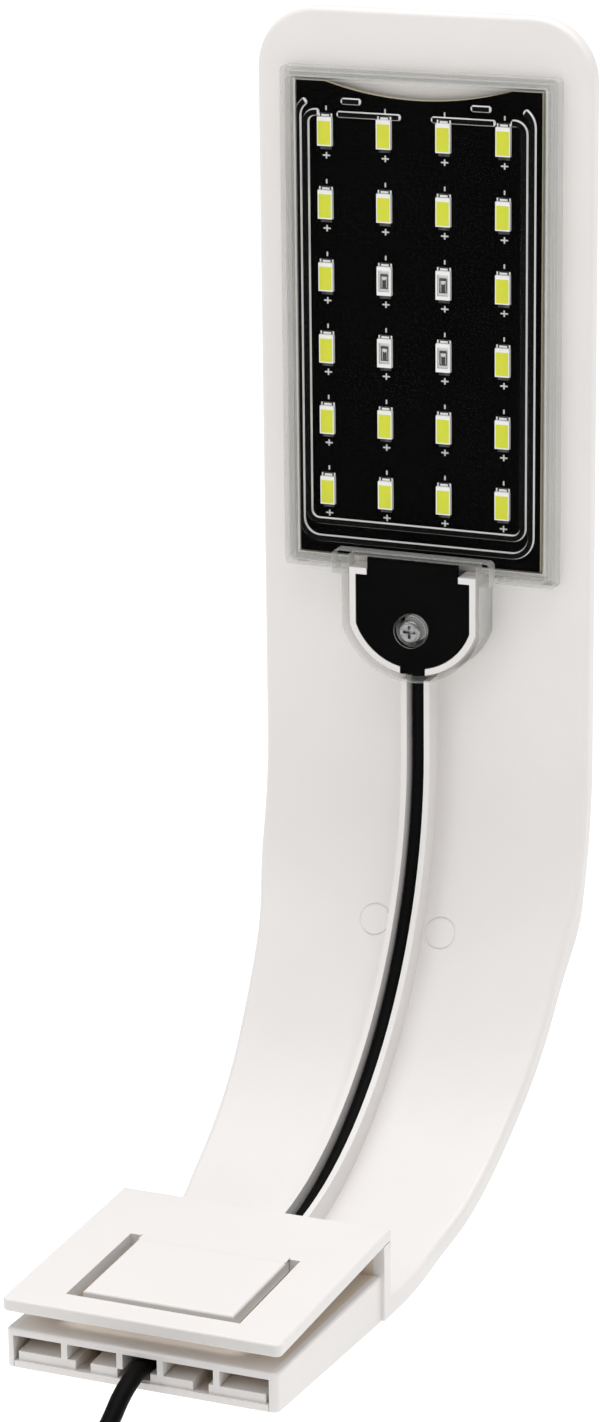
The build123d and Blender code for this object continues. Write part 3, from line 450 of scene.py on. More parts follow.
FINISHES: dict[Slot, Finish] = {
    Slot.WHITE_ABS: ShellPlasticWithPaintedShade(
        "white_abs", (0.80, 0.775, 0.76), (0.775, 0.75, 0.735), 0.42, 0.05, 35.0, 4200.0, 0.012
    ),
    Slot.CLEAR_COVER: ClearPlastic(
        "clear_cover", (0.74, 0.74, 0.71), (0.66, 0.66, 0.63), 0.12, 0.02, 60.0, 300.0, 0.0,
        face_alpha=0.0015,
        wall_highlight_alpha=0.42,
        ledge_alpha=0.14,
        ledge_y=90.3 * MM,
    ),
    Slot.BOARD_BLACK: CutBoard(
        "board_black", (0.001, 0.001, 0.001), (0.0015, 0.0015, 0.0015), 0.5, specular=0.0
    ),
    Slot.LED_BODY: Finish("led_body", (0.85, 0.85, 0.83), (0.80, 0.80, 0.78), 0.45, grain_depth=0.006),
    Slot.PHOSPHOR: Finish(
        "phosphor", (0.60, 0.69, 0.02), (0.68, 0.66, 0.03), 0.5, 0.1, 300.0, 9000.0, 0.02
    ),
    Slot.LED_CLEAR: ClearPlastic(
        "led_clear", (0.8, 0.82, 0.84), (0.7, 0.72, 0.74), 0.08, face_alpha=0.04
    ),
    Slot.SOLDER: Finish(
        "solder", (0.10, 0.10, 0.10), (0.03, 0.03, 0.03), 0.5, 0.15, 900.0, 2500.0, 0.05, 1.0
    ),
    Slot.SEAL: Finish("seal_silicone", (0.75, 0.75, 0.74), (0.7, 0.7, 0.69), 0.5),
    Slot.PAD: Finish("pad_grey", (0.32, 0.33, 0.35), (0.28, 0.29, 0.31), 0.8, grain_depth=0.06),
    Slot.SCREW: Finish(
        "screw_nickel", (0.34, 0.34, 0.34), (0.22, 0.22, 0.22), 0.28, 0.1, 1500.0, 6000.0, 0.01, 1.0
    ),
    Slot.INSERT: Finish("black_insert", (0.001, 0.001, 0.001), (0.002, 0.002, 0.002), 0.6, specular=0.01),
    Slot.DRIVER: Finish("driver_green", (0.02, 0.16, 0.07), (0.015, 0.13, 0.06), 0.35),
    Slot.CHIP: Finish("chip_black", (0.015, 0.015, 0.016), (0.02, 0.02, 0.022), 0.55),
    Slot.WIRE: Finish("wire_skin", (0.004, 0.004, 0.004), (0.008, 0.008, 0.008), 0.45, specular=0.1),
    Slot.CORD: Finish(
        "cord_pvc", (0.002, 0.002, 0.002), (0.004, 0.004, 0.004), 0.5, 0.1, 400.0, 5200.0, 0.03, specular=0.05
    ),
    Slot.TIE: Finish(
        "tie_black", (0.012, 0.012, 0.012), (0.02, 0.02, 0.02), 0.8, grain_depth=0.1, specular=0.2
    ),
    Slot.SWITCH: Finish(
        "switch_black", (0.008, 0.008, 0.009), (0.013, 0.013, 0.014), 0.42, grain_depth=0.03, specular=0.3
    ),
    Slot.BRASS: Finish("brass_strip", (0.72, 0.49, 0.2), (0.6, 0.4, 0.16), 0.3, metallic=1.0),
    Slot.PIN: Finish("pin_nickel", (0.66, 0.65, 0.62), (0.58, 0.57, 0.54), 0.22, metallic=1.0),
}

# Painted highlight: near-white colour on the clear cover's bevelled edges, for the light that those edges
# catch.
EDGE_HIGHLIGHT_FINISH = Finish("edge_highlight", (0.95, 0.95, 0.93), (0.88, 0.88, 0.86), 0.1, grain_depth=0.002)
# Raised lines on the window: clear tops, and walls with a strong painted highlight that draws each line as
# two pale lines.
RIDGE_FINISH = ClearPlastic(
    "ridge_clear", (0.95, 0.95, 0.94), (0.85, 0.85, 0.84), 0.08,
    grain_depth=0.0, face_alpha=0.003, wall_highlight_alpha=0.75,
)
MARK_FINISH = Finish("board_print", (0.70, 0.70, 0.68), (0.6, 0.6, 0.58), 0.7, specular=0.1)
DIE_FINISH = Finish(
    "led_die", (0.012, 0.012, 0.013), (0.02, 0.02, 0.021), 0.3, grain_depth=0.004, specular=0.2
)
TIN_FINISH = Finish("tinned_bar", (0.93, 0.93, 0.92), (0.8, 0.8, 0.79), 0.3, 0.1, 900.0, 2500.0, 0.02)
BOND_FINISH = Finish("led_bond", (0.9, 0.9, 0.92), (0.8, 0.8, 0.82), 0.25, grain_depth=0.004)


class Wardrobe:
    """Makes each finish once and hands it to the pieces."""

    def __init__(self) -> None:
        """Builds every finish."""
        self.materials = {slot: finish.material() for slot, finish in FINISHES.items()}
        self.special = {
            finish.name: finish.material()
            for finish in (EDGE_HIGHLIGHT_FINISH, RIDGE_FINISH, MARK_FINISH, DIE_FINISH, TIN_FINISH, BOND_FINISH)
        }

    def dress_frame(self) -> None:
        """Gives every CAD node the finish that the record names for it."""
        for part in frame["record"]["subparts"]:
            mesh = frame["nodes"][part["node"]].data
            mesh.materials.clear()
            mesh.materials.append(self.materials[Slot(part["material_slot"])])

    def dress(
        self,
        piece: bpy.types.Object,
        slot: Slot,
        body: Body | None = Body.LIGHT,
        finish: Finish | None = None,
        edge: Finish | None = None,
    ) -> None:
        """Gives a new piece its finish, its slot and the body it rides on.

        Args:
            piece: the new piece.
            slot: its material slot.
            body: the body that it moves with, or None to leave it on neither, as for a piece that spans two.
            finish: a finish of its own, instead of the slot's.
            edge: a second finish, for its bevelled edges.
        """
        piece.data.materials.clear()
        piece.data.materials.append(self.special[finish.name] if finish else self.materials[slot])
        if edge:
            piece.data.materials.append(self.special[edge.name])
        if body:
            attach(piece, body.value)
        faces = piece.data.polygons if piece.type == "MESH" else ()
        triangles = sum(len(face.vertices) - 2 for face in faces)
        holder = body.value if body else "two bodies"
        LOG.info("%s: %s, rides on %s, %d triangles", piece.name, slot.value, holder, triangles)


# ---------------------------------------------------------------- the bench


class Bench:
    """A piece in hand, shaped in edit mode with one tool after another. Sizes are in millimetres."""

    def __init__(self, name: str, piece: bpy.types.Object) -> None:
        """Takes a primitive or a copy in hand and opens it for editing.

        Args:
            name: the finished piece's name.
            piece: the object to shape.
        """
        bpy.ops.object.select_all(action="DESELECT")
        piece.select_set(True)
        bpy.context.view_layer.objects.active = piece
        piece.name = name
        piece.data.name = name
        bpy.ops.object.transform_apply(location=True, rotation=True, scale=True)
        self.piece = piece
        bpy.ops.object.mode_set(mode="EDIT")
        bpy.ops.mesh.select_mode(type="FACE")
        bpy.ops.mesh.select_all(action="SELECT")

    @classmethod
    def from_plane(
        cls, name: str, size: tuple[float, float], at: Point, turn: Point = (0.0, 0.0, 0.0)
    ) -> "Bench":
        """Starts from a plane.

        Args:
            name: the piece's name.
            size: its width and height.
            at: its centre.
            turn: its turns about X, Y and Z in degrees.

        Returns:
            The bench with the plane selected.
        """
        bpy.ops.object.select_all(action="DESELECT")
        turned = [radians(angle) for angle in turn]
        bpy.ops.mesh.primitive_plane_add(size=1.0, location=Vector(at) * MM, rotation=turned)
        bpy.context.object.scale = (size[0] * MM, size[1] * MM, 1.0)
        return cls(name, bpy.context.object)

    @classmethod
    def from_circle(cls, name: str, radius: float, at: Point, turn: Point, sides: int = 24) -> "Bench":
        """Starts from a filled circle.

        Args:
            name: the piece's name.
            radius: its radius.
            at: its centre.
            turn: its turns about X, Y and Z in degrees.
            sides: its number of sides.

        Returns:
            The bench with the circle selected.
        """
        bpy.ops.object.select_all(action="DESELECT")
        bpy.ops.mesh.primitive_circle_add(
            vertices=sides,
            radius=radius * MM,
            fill_type="NGON",
            location=Vector(at) * MM,
            rotation=[radians(angle) for angle in turn],
        )
        return cls(name, bpy.context.object)

    @classmethod
    def from_node(cls, name: str, node: str) -> "Bench":
        """Starts from a copy of a CAD node, with its loose triangles merged into flat faces.

        Args:
            name: the piece's name.
            node: the CAD node.

        Returns:
            The bench with all of the copy selected.
        """
        source = frame["nodes"][node]
        piece = bpy.data.objects.new(name, source.data.copy())
        bpy.context.scene.collection.objects.link(piece)
        bench = cls(name, piece)
        bpy.ops.mesh.remove_doubles(threshold=0.004 * MM)
        bpy.ops.mesh.dissolve_limited(angle_limit=radians(0.6))
        return bench

    def pick_edges(self, test: Callable[[Vector, Vector], bool]) -> "Bench":
        """Selects edges.

        Args:
            test: says whether an edge is wanted, from its two ends in millimetres.

        Returns:
            The bench.
        """
        bpy.ops.mesh.select_mode(type="EDGE")
        bpy.ops.mesh.select_all(action="DESELECT")
        mesh = bmesh.from_edit_mesh(self.piece.data)
        for edge in mesh.edges:
            edge.select_set(test(edge.verts[0].co / MM, edge.verts[1].co / MM))
        bmesh.update_edit_mesh(self.piece.data)
        return self

    def pull(self, x: float = 0.0, y: float = 0.0, z: float = 0.0) -> "Bench":
        """Extrudes what is selected by these distances in millimetres."""
        bpy.ops.mesh.extrude_region_move(TRANSFORM_OT_translate={"value": (x * MM, y * MM, z * MM)})
        return self

    def scale(self, factors: Point, about: Point) -> "Bench":
        """Scales what is selected about a point in millimetres."""
        bpy.ops.transform.resize(value=factors, center_override=Vector(about) * MM)
        return self

    def swing(self, angle: float, about: Point, axis: Point, steps: int) -> "Bench":
        """Spins what is selected by an angle in degrees round a point in millimetres."""
        bpy.ops.mesh.spin(steps=steps, angle=radians(angle), center=Vector(about) * MM, axis=axis)
        return self

    def soften(self, width: float, segments: int = 2) -> "Bench":
        """Bevels the edges that are selected, by a width in millimetres."""
        bpy.ops.mesh.bevel(offset=width * MM, segments=segments, affect="EDGES")
        return self

    def finish(self, smooth: float = 35.0) -> bpy.types.Object:
        """Merges doubles, turns every face outwards and puts the piece down.

        Args:
            smooth: the angle in degrees under which edges are shaded smooth.

        Returns:
            The piece.
        """
        bpy.ops.mesh.select_all(action="SELECT")
        bpy.ops.mesh.remove_doubles(threshold=0.002 * MM)
        bpy.ops.mesh.normals_make_consistent(inside=False)
        bpy.ops.object.mode_set(mode="OBJECT")
        bpy.ops.object.shade_smooth_by_angle(angle=radians(smooth))
        return self.piece


def bevelled(piece: bpy.types.Object, width: float, angle: float, material: int) -> None:
    """Bevels a finished piece's sharp edges and applies the modifier.

    Args:
        piece: the piece.
        width: the bevel's width in millimetres.
        angle: edges sharper than this many degrees are bevelled.
        material: index of the material that the bevel gets.
    """
    bpy.ops.object.select_all(action="DESELECT")
    piece.select_set(True)
    bpy.context.view_layer.objects.active = piece
    bevel = piece.modifiers.new("soft_edges", "BEVEL")
    bevel.width = width * MM
    bevel.segments = 2
    bevel.limit_method = "ANGLE"
    bevel.angle_limit = radians(angle)
    bevel.material = material
    bevel.harden_normals = False
    bpy.ops.object.modifier_apply(modifier=bevel.name)


def repeated(name: str, pattern: bpy.types.Object, places: list[Point]) -> bpy.types.Object:
    """Copies a piece to each place, each copy with its own mesh, and joins them.

    Args:
        name: the joined piece's name.
        pattern: the piece that is copied and then taken away.
        places: shifts in millimetres.

    Returns:
        The joined piece.
    """
    copies = []
    for place in places:
        copy = bpy.data.objects.new(name, pattern.data.copy())
        bpy.context.scene.collection.objects.link(copy)
        copy.location = Vector(place) * MM
        copies.append(copy)
    bpy.data.objects.remove(pattern)
    bpy.ops.object.select_all(action="DESELECT")
    for copy in copies:
        copy.select_set(True)
    bpy.context.view_layer.objects.active = copies[0]
    bpy.ops.object.transform_apply(location=True, rotation=True, scale=True)
    if len(copies) > 1:
        bpy.ops.object.join()
    return bpy.context.view_layer.objects.active


# ---------------------------------------------------------------- the clear cover


class RidgeTool:
    """Draws a raised line on the window: one section pulled along straights and round bends."""

    def __init__(
        self, name: str, start: tuple[float, float], heading: float, width: float, height: float
    ) -> None:
        """Starts a line with a rounded end.

        Args:
            name: the line's name.
            start: X and Z of its end in millimetres.
            heading: the way it runs in degrees, 0 to the right and 90 up.
            width: its width.
            height: its rise over the window.
        """
        self.base_y = WINDOW_FRONT_Y + RIDGE_SUNK
        self.x, self.z = start
        self.heading = heading
        middle = self.base_y - (height + RIDGE_SUNK) / 2
        self.bench = Bench.from_plane(
            name, (width, height + RIDGE_SUNK), (self.x, middle, self.z), (0.0, 90.0 - heading, 0.0)
        )
        self.bench.pick_edges(lambda a, b: max(a.y, b.y) < middle)
        self.bench.scale((RIDGE_TOP_SHARE, 1.0, RIDGE_TOP_SHARE), (self.x, middle, self.z))
        bpy.ops.mesh.select_mode(type="FACE")
        bpy.ops.mesh.select_all(action="SELECT")
        self._scale(RIDGE_END_SHARE)
        self.run(RIDGE_END)
        self._scale(1.0 / RIDGE_END_SHARE)

    def _scale(self, share: float) -> None:
        """Scales the end section about its foot."""
        self.bench.scale((share, share, share), (self.x, self.base_y, self.z))

    def run(self, length: float) -> "RidgeTool":
        """Pulls the section straight ahead.

        Args:
            length: the distance in millimetres.

        Returns:
            The tool.
        """
        step_x = length * cos(radians(self.heading))
        step_z = length * sin(radians(self.heading))
        self.bench.pull(step_x, 0.0, step_z)
        self.x += step_x
        self.z += step_z
        return self

    def turn(self, angle: float, radius: float) -> "RidgeTool":
        """Takes the section round a bend.

        Args:
            angle: degrees to the left, or to the right if negative.
            radius: the bend's radius in millimetres.

        Returns:
            The tool.
        """
        side = 1.0 if angle > 0 else -1.0
        centre_x = self.x - side * radius * sin(radians(self.heading))
        centre_z = self.z + side * radius * cos(radians(self.heading))
        steps = max(3, round(abs(angle) / 12.0))
        self.bench.swing(angle, (centre_x, self.base_y, centre_z), (0.0, 1.0, 0.0), steps)
        self.heading += angle
        self.x = centre_x + side * radius * sin(radians(self.heading))
        self.z = centre_z - side * radius * cos(radians(self.heading))
        return self

    def end(self) -> bpy.types.Object:
        """Closes the line with a rounded end.

        Returns:
            The finished line.
        """
        self.run(RIDGE_END)
        self._scale(RIDGE_END_SHARE)
        return self.bench.finish(20.0)


@dataclass
class ClearCover:
    """The clear cover with a painted highlight on its bevelled edges, and the raised lines on its window."""

    edge_width: float = 0.22
    edge_angle: float = 40.0
    ridge_width: float = 1.45
    ridge_height: float = 0.47
    pill_height: float = 0.35
    pill_share: float = 0.9
    outer_start: tuple[float, float] = (-22.6, 202.0)
    outer_heading: float = 215.0
    outer_low: float = 113.6
    outer_corner: float = 4.0
    outer_top: float = 199.0
    outer_top_turn: float = 55.0
    outer_top_corner: float = 3.6
    inner_start: tuple[float, float] = (-19.9, 199.7)
    inner_low: float = 117.2
    inner_corner: float = 2.2
    inner_top: float = 197.7
    inner_top_corner: float = 2.0
    inner_top_run: float = 0.5
    long_pills: tuple[tuple[float, float], ...] = ((-16.2, -2.8), (3.5, 16.8))
    long_pill_z: float = 199.5
    short_pills: tuple[tuple[float, float], ...] = ((-15.3, -11.1), (11.7, 15.9))
    short_pill_z: float = 202.1

    def highlighted_shell(self, wardrobe: Wardrobe) -> None:
        """Makes the cover's shell, with a painted highlight on its bevelled edges.

        Args:
            wardrobe: the finishes.
        """
        shell = Bench.from_node("clear_cover", "lens_cover").finish(30.0)
        wardrobe.dress(shell, Slot.CLEAR_COVER, edge=EDGE_HIGHLIGHT_FINISH)
        bevelled(shell, self.edge_width, self.edge_angle, 1)
        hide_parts("lens_cover")

    def outer_loop(self) -> bpy.types.Object:
        """Draws the outer line, open at the top.

        Returns:
            The line.
        """
        tool = RidgeTool(
            "outer_loop", self.outer_start, self.outer_heading, self.ridge_width, self.ridge_height
        )
        tool.turn(270.0 - self.outer_heading, self.outer_top_corner)
        self._cradle(tool, self.outer_low, self.outer_corner, self.outer_top)
        tool.turn(self.outer_top_turn, self.outer_top_corner)
        return tool.end()

    def inner_loop(self) -> bpy.types.Object:
        """Draws the inner line, with both ends turned level.

        Returns:
            The line.
        """
        tool = RidgeTool("inner_loop", self.inner_start, 180.0, self.ridge_width, self.ridge_height)
        tool.run(self.inner_top_run)
        tool.turn(90.0, self.inner_top_corner)
        self._cradle(tool, self.inner_low, self.inner_corner, self.inner_top)
        tool.turn(90.0, self.inner_top_corner)
        tool.run(self.inner_top_run)
        return tool.end()

    @staticmethod
    def _cradle(tool: RidgeTool, low: float, corner: float, top: float) -> None:
        """Takes a line down one side, along the bottom and up the other side.

        Args:
            tool: the tool, at the top of the left side.
            low: height of the bottom run.
            corner: radius of both corners.
            top: height at which the right side ends.
        """
        side = -tool.x
        tool.run(tool.z - low - corner)
        tool.turn(90.0, corner)
        tool.run(2.0 * (side - corner))
        tool.turn(90.0, corner)
        tool.run(top - low - corner)

    def pill(self, name: str, ends: tuple[float, float], z: float) -> bpy.types.Object:
        """Draws one short level line.

        Args:
            name: its name.
            ends: X of its two ends.
            z: its height.

        Returns:
            The line.
        """
        tool = RidgeTool(name, (ends[0], z), 0.0, self.ridge_width * self.pill_share, self.pill_height)
        tool.run(ends[1] - ends[0] - 2.0 * RIDGE_END)
        return tool.end()

    def build(self, wardrobe: Wardrobe) -> None:
        """Makes the cover and its lines.

        Args:
            wardrobe: the finishes.
        """
        self.highlighted_shell(wardrobe)
        lines = [self.outer_loop(), self.inner_loop()]
        lines += [self.pill("long_pill", ends, self.long_pill_z) for ends in self.long_pills]
        lines += [self.pill("short_pill", ends, self.short_pill_z) for ends in self.short_pills]
        bpy.ops.object.select_all(action="DESELECT")
        for line in lines:
            line.select_set(True)
        bpy.context.view_layer.objects.active = lines[0]
        bpy.ops.object.join()
        ridges = bpy.context.view_layer.objects.active
        ridges.name = "cover_ridges"
        wardrobe.dress(ridges, Slot.CLEAR_COVER, finish=RIDGE_FINISH)


# ---------------------------------------------------------------- the lamp board


@dataclass
class LampDetails:
    """What is printed on the lamp board, and the insides of the four clear LEDs."""

    pitch_x: float = 12.4
    pitch_z: float = 14.51
    columns: int = 4
    rows: int = 6
    shift_x: float = -0.8
    middle_z: float = 159.416
    print_shift: float = 0.13
    print_gap: float = 0.001
    print_rise: float = 0.13
    stroke: float = 0.26
    minus_height: float = 0.85
    minus_at: float = 4.55
    plus_width: float = 1.5
    plus_height: float = 1.25
    plus_at: float = -4.8
    phosphor_size: tuple[float, float] = (2.7, 4.8)
    phosphor_shift: float = -0.25
    phosphor_deep: float = 0.3
    phosphor_proud: float = 0.03
    phosphor_edge: float = 0.12
    tin_sunk: float = 0.1
    tin_bar: tuple[float, float] = (1.6, 0.42)
    tin_bar_at: float = 3.12
    tin_bar_rise: float = 0.25
    tin_bar_edge: float = 0.1
    tin_ear: tuple[float, float] = (0.28, 0.6)
    tin_ear_at: tuple[float, float] = (1.3, 3.2)
    tin_ear_rise: float = 0.2
    tin_ear_edge: float = 0.08
    pocket: float = 0.35
    bar: tuple[float, float] = (1.5, 0.24)
    bar_at: float = 1.3
    bar_rise: float = 0.3
    frame: tuple[float, float] = (1.5, 2.6)
    frame_at: float = -0.2
    frame_wall: float = 0.13
    frame_rise: float = 0.22
    die: tuple[float, float] = (0.76, 1.6)
    die_at: float = -0.5
    die_rise: float = 0.14
    bond_radius: float = 0.2
    bond_at: float = 0.33
    bond_rise: float = 0.2
    bond_top: float = 0.6

    def places(self, clear_only: bool = False) -> list[Point]:
        """Gives the centres of the LEDs.

        Args:
            clear_only: whether only the four clear ones are wanted.

        Returns:
            Shifts in millimetres.
        """
        found = []
        for row in range(self.rows):
            for column in range(self.columns):
                if clear_only and not (row in (2, 3) and column in (1, 2)):
                    continue
                x = self.shift_x + (column - (self.columns - 1) / 2) * self.pitch_x
                z = self.middle_z + ((self.rows - 1) / 2 - row) * self.pitch_z
                found.append((x, 0.0, z))
        return found

    def print_marks(self, wardrobe: Wardrobe) -> None:
        """Prints a minus tick above each LED and a plus below it.

        Args:
            wardrobe: the finishes.
        """
        at = (self.print_shift, BOARD_FRONT_Y - self.print_gap, self.minus_at)
        tick = Bench.from_plane("minus", (self.stroke, self.minus_height), at, LEVEL)
        tick.pull(y=-self.print_rise)
        minus = repeated("minus_marks", tick.finish(), self.places())
        at = (self.print_shift, BOARD_FRONT_Y - self.print_gap, self.plus_at)
        plus = Bench.from_plane("plus", (self.stroke, self.stroke), at, LEVEL)
        half = self.stroke / 2
        arm_x = self.plus_width / 2 - half
        arm_z = self.plus_height / 2 - half
        for x, z in ((1, 0), (-1, 0), (0, 1), (0, -1)):
            side_x = self.print_shift + x * half
            side_z = self.plus_at + z * half
            plus.pick_edges(
                lambda a, b: abs((a.x + b.x) / 2 - side_x) < NEAR and abs((a.z + b.z) / 2 - side_z) < NEAR
            )
            reach = (x * arm_x * MM, 0.0, z * arm_z * MM)
            bpy.ops.mesh.extrude_edges_move(TRANSFORM_OT_translate={"value": reach})
        bpy.ops.mesh.select_all(action="SELECT")
        bpy.ops.mesh.normals_make_consistent(inside=False)
        plus.pull(y=-self.print_rise)
        pluses = repeated("plus_marks", plus.finish(), self.places())
        for marks in (minus, pluses):
            wardrobe.dress(marks, Slot.LED_BODY, finish=MARK_FINISH)

    def fill_leds(self, wardrobe: Wardrobe) -> None:
        """Fills the white LEDs with phosphor, up to a thin edge of their bodies.

        Args:
            wardrobe: the finishes.
        """
        at = (0.0, LED_FRONT_Y + self.phosphor_deep, self.phosphor_shift)
        fill = Bench.from_plane("fill", self.phosphor_size, at, LEVEL)
        fill.pull(y=-self.phosphor_deep - self.phosphor_proud)
        back = LED_FRONT_Y + self.phosphor_deep
        fill.pick_edges(lambda a, b: min(a.y, b.y) < back - NEAR)
        fill.soften(self.phosphor_edge)
        clear = self.places(True)
        white = [place for place in self.places() if place not in clear]
        fills = repeated("phosphor_fills", fill.finish(), white)
        wardrobe.dress(fills, Slot.PHOSPHOR)
        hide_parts("led_phosphor")

    def tin_bars(self, wardrobe: Wardrobe) -> None:
        """Lays the tinned bar and its two ears over the top of each LED.

        Args:
            wardrobe: the finishes.
        """
        foot = BOARD_FRONT_Y - self.tin_sunk
        at = (0.0, foot, self.tin_bar_at)
        bar = Bench.from_plane("bar", self.tin_bar, at, LEVEL).pull(y=-self.tin_bar_rise)
        bar.pick_edges(lambda a, b: max(a.y, b.y) < foot - NEAR)
        bar.soften(self.tin_bar_edge)
        bars = repeated("tin_bars", bar.finish(), self.places())
        at = (0.0, foot, self.tin_ear_at[1])
        ear = Bench.from_plane("ear", self.tin_ear, at, LEVEL).pull(y=-self.tin_ear_rise)
        ear.pick_edges(lambda a, b: max(a.y, b.y) < foot - NEAR)
        ear.soften(self.tin_ear_edge)
        spots = [(x + side * self.tin_ear_at[0], y, z) for x, y, z in self.places() for side in (-1, 1)]
        ears = repeated("tin_ears", ear.finish(), spots)
        for tin in (bars, ears):
            wardrobe.dress(tin, Slot.SOLDER, finish=TIN_FINISH)

    def clear_leds(self, wardrobe: Wardrobe) -> None:
        """Makes the bar, the frame, the die and the bond inside each clear LED.

        Args:
            wardrobe: the finishes.
        """
        deep = LED_FRONT_Y + self.pocket
        spots = self.places(True)
        bar = Bench.from_plane("bar", self.bar, (0.0, deep, self.bar_at), LEVEL).pull(y=-self.bar_rise)
        wardrobe.dress(repeated("led_bars", bar.finish(), spots), Slot.CHIP)
        outline = Bench.from_plane("frame", self.frame, (0.0, deep, self.frame_at), LEVEL)
        bpy.ops.mesh.inset(thickness=self.frame_wall * MM, depth=0.0)
        bpy.ops.mesh.delete(type="FACE")
        bpy.ops.mesh.select_all(action="SELECT")
        outline.pull(y=-self.frame_rise)
        wardrobe.dress(repeated("led_frames", outline.finish(), spots), Slot.CHIP, finish=DIE_FINISH)
        die = Bench.from_plane("die", self.die, (0.0, deep, self.die_at), LEVEL).pull(y=-self.die_rise)
        wardrobe.dress(repeated("led_dies", die.finish(), spots), Slot.CHIP, finish=DIE_FINISH)
        at = (0.0, deep, self.bond_at)
        bond = Bench.from_circle("bond", self.bond_radius, at, LEVEL, 12).pull(y=-self.bond_rise)
        bond.scale((self.bond_top, 1.0, self.bond_top), at)
        wardrobe.dress(repeated("led_bonds", bond.finish(), spots), Slot.SOLDER, finish=BOND_FINISH)

    def build(self, wardrobe: Wardrobe) -> None:
        """Makes all the details of the board.

        Args:
            wardrobe: the finishes.
        """
        self.print_marks(wardrobe)
        self.fill_leds(wardrobe)
        self.tin_bars(wardrobe)
        self.clear_leds(wardrobe)


# ---------------------------------------------------------------- the cable entry


@dataclass
class InsertLip:
    """The black insert's upper lip, which hides the gap up to the lamp board."""

    half_width: float = 9.7
    low_z: float = 108.3
    high_z: float = 111.0
    front_y: float = 86.7
    thick: float = 0.8
    edge: float = 0.15

    def build(self, wardrobe: Wardrobe) -> None:
        """Makes the lip.

        Args:
            wardrobe: the finishes.
        """
        size = (2.0 * self.half_width, self.high_z - self.low_z)
        middle = (0.0, self.front_y + self.thick, (self.low_z + self.high_z) / 2.0)
        bench = Bench.from_plane("insert_lip", size, middle, LEVEL)
        bench.pull(y=-self.thick)
        bench.pick_edges(lambda a, b: max(a.y, b.y) < self.front_y + NEAR)
        bench.soften(self.edge)
        wardrobe.dress(bench.finish(), Slot.INSERT)


# ---------------------------------------------------------------- the clip


@dataclass
class TongueWeb:
    """The thin root that joins the spring tongue to the clip's plate."""

    half_width: float = 14.9
    hinge_y: float = -16.1
    reach: float = 1.6
    top_z: float = 5.5
    sunk: float = 0.3
    proud: float = 0.02

    def build(self, wardrobe: Wardrobe) -> None:
        """Bridges the gap between the plate and the tongue.

        Args:
            wardrobe: the finishes.
        """
        size = (2.0 * self.half_width, 2.0 * self.reach)
        bench = Bench.from_plane("tongue_web", size, (0.0, self.hinge_y, self.top_z - self.sunk))
        bench.pull(z=self.sunk + self.proud)
        bpy.ops.mesh.select_all(action="SELECT")
        bpy.ops.mesh.subdivide(number_cuts=4)
        web = bench.finish()
        wardrobe.dress(web, Slot.WHITE_ABS, None)
        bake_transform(web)


# ---------------------------------------------------------------- the cord


@dataclass
class SupplyCord:
    """The free cord, from the clip to its plug, with its spare length in a tied coil."""

    diameter: float = 3.4 * MM
    length: float = 1.40
    coil_centre: tuple[float, float] = (6.0 * MM, -98.0 * MM)
    coil_radii: tuple[float, ...] = (25.5 * MM, 22.1 * MM, 18.7 * MM, 15.3 * MM, 11.9 * MM)
    layer_heights: tuple[float, float] = (-10.184 * MM, -6.784 * MM)
    points_per_turn: int = 16
    step_share: float = 0.35

    def first_route(self) -> list[Point]:
        """Points from the clip's front to the coil, in metres."""
        return [
            (0.0, -0.0503, -0.003743),
            (0.0, -0.0574, -0.0044),
            (-0.0003, -0.065, -0.010684),
            (-0.0036, -0.0745, -0.010984),
            (-0.0124, -0.084, -0.010984),
        ]

    def coil_turns(self) -> list[Point]:
        """Works out the coil: its lower layer winds in and its upper layer winds out.

        Returns:
            Points in metres.
        """
        radii = self.coil_radii + self.coil_radii[::-1]
        heights = [height for height in self.layer_heights for _ in self.coil_radii]
        last = len(radii) - 1
        points = []
        for step in range(len(radii) * self.points_per_turn + 1):
            turn = min(step // self.points_per_turn, last)
            share = step / self.points_per_turn - turn
            across = max(0.0, (share - 1.0 + self.step_share) / self.step_share) if turn < last else 0.0
            following = min(turn + 1, last)
            radius = radii[turn] + (radii[following] - radii[turn]) * across
            height = heights[turn] + (heights[following] - heights[turn]) * across
            reach = radius / cos(pi / self.points_per_turn)
            angle = pi + 2.0 * pi * step / self.points_per_turn
            x = self.coil_centre[0] + reach * cos(angle)
            y = self.coil_centre[1] + reach * sin(angle)
            points.append((x, y, height))
        return points

    def second_route(self) -> list[Point]:
        """Points from the coil to the switch, in metres."""
        return [
            (-0.0204, -0.109, -0.0083),
            (-0.02, -0.119, -0.009234),
        ]

    def third_route(self) -> list[Point]:
        """Points from the switch to the plug, in metres."""
        return [
            (-0.02, -0.165, -0.009234),
            (-0.0201, -0.178, -0.0102),
            (-0.0216, -0.192, -0.010984),
            (-0.0226, -0.207, -0.010984),
            (-0.0206, -0.221, -0.010984),
            (-0.0103, -0.2314, -0.010984),
            (0.0046, -0.2318, -0.010684),
            (0.0146, -0.222, -0.0082),
            (0.015, -0.212, -0.005834),
        ]

    def build(self, wardrobe: Wardrobe) -> bpy.types.Object:
        """Lays the cord along its route.

        Args:
            wardrobe: the finishes.

        Returns:
            The cord.
        """
        route = self.first_route() + self.coil_turns() + self.second_route() + self.third_route()
        curve = bpy.data.curves.new("supply_cord", "CURVE")
        curve.dimensions = "3D"
        curve.resolution_u = 4
        curve.bevel_depth = self.diameter / 2
        curve.bevel_resolution = 5
        curve.use_fill_caps = True
        spline = curve.splines.new("NURBS")
        spline.points.add(len(route) - 1)
        for point, place in zip(spline.points, route):
            point.co = (*place, 1.0)
        spline.order_u = 3
        spline.use_endpoint_u = True
        spline.resolution_u = 4
        cord = bpy.data.objects.new("supply_cord", curve)
        bpy.context.scene.collection.objects.link(cord)
        wardrobe.dress(cord, Slot.CORD)
        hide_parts("cord_lead", "cord_coil", "cord_to_switch", "cord_to_plug")
        return cord


# ---------------------------------------------------------------- studio


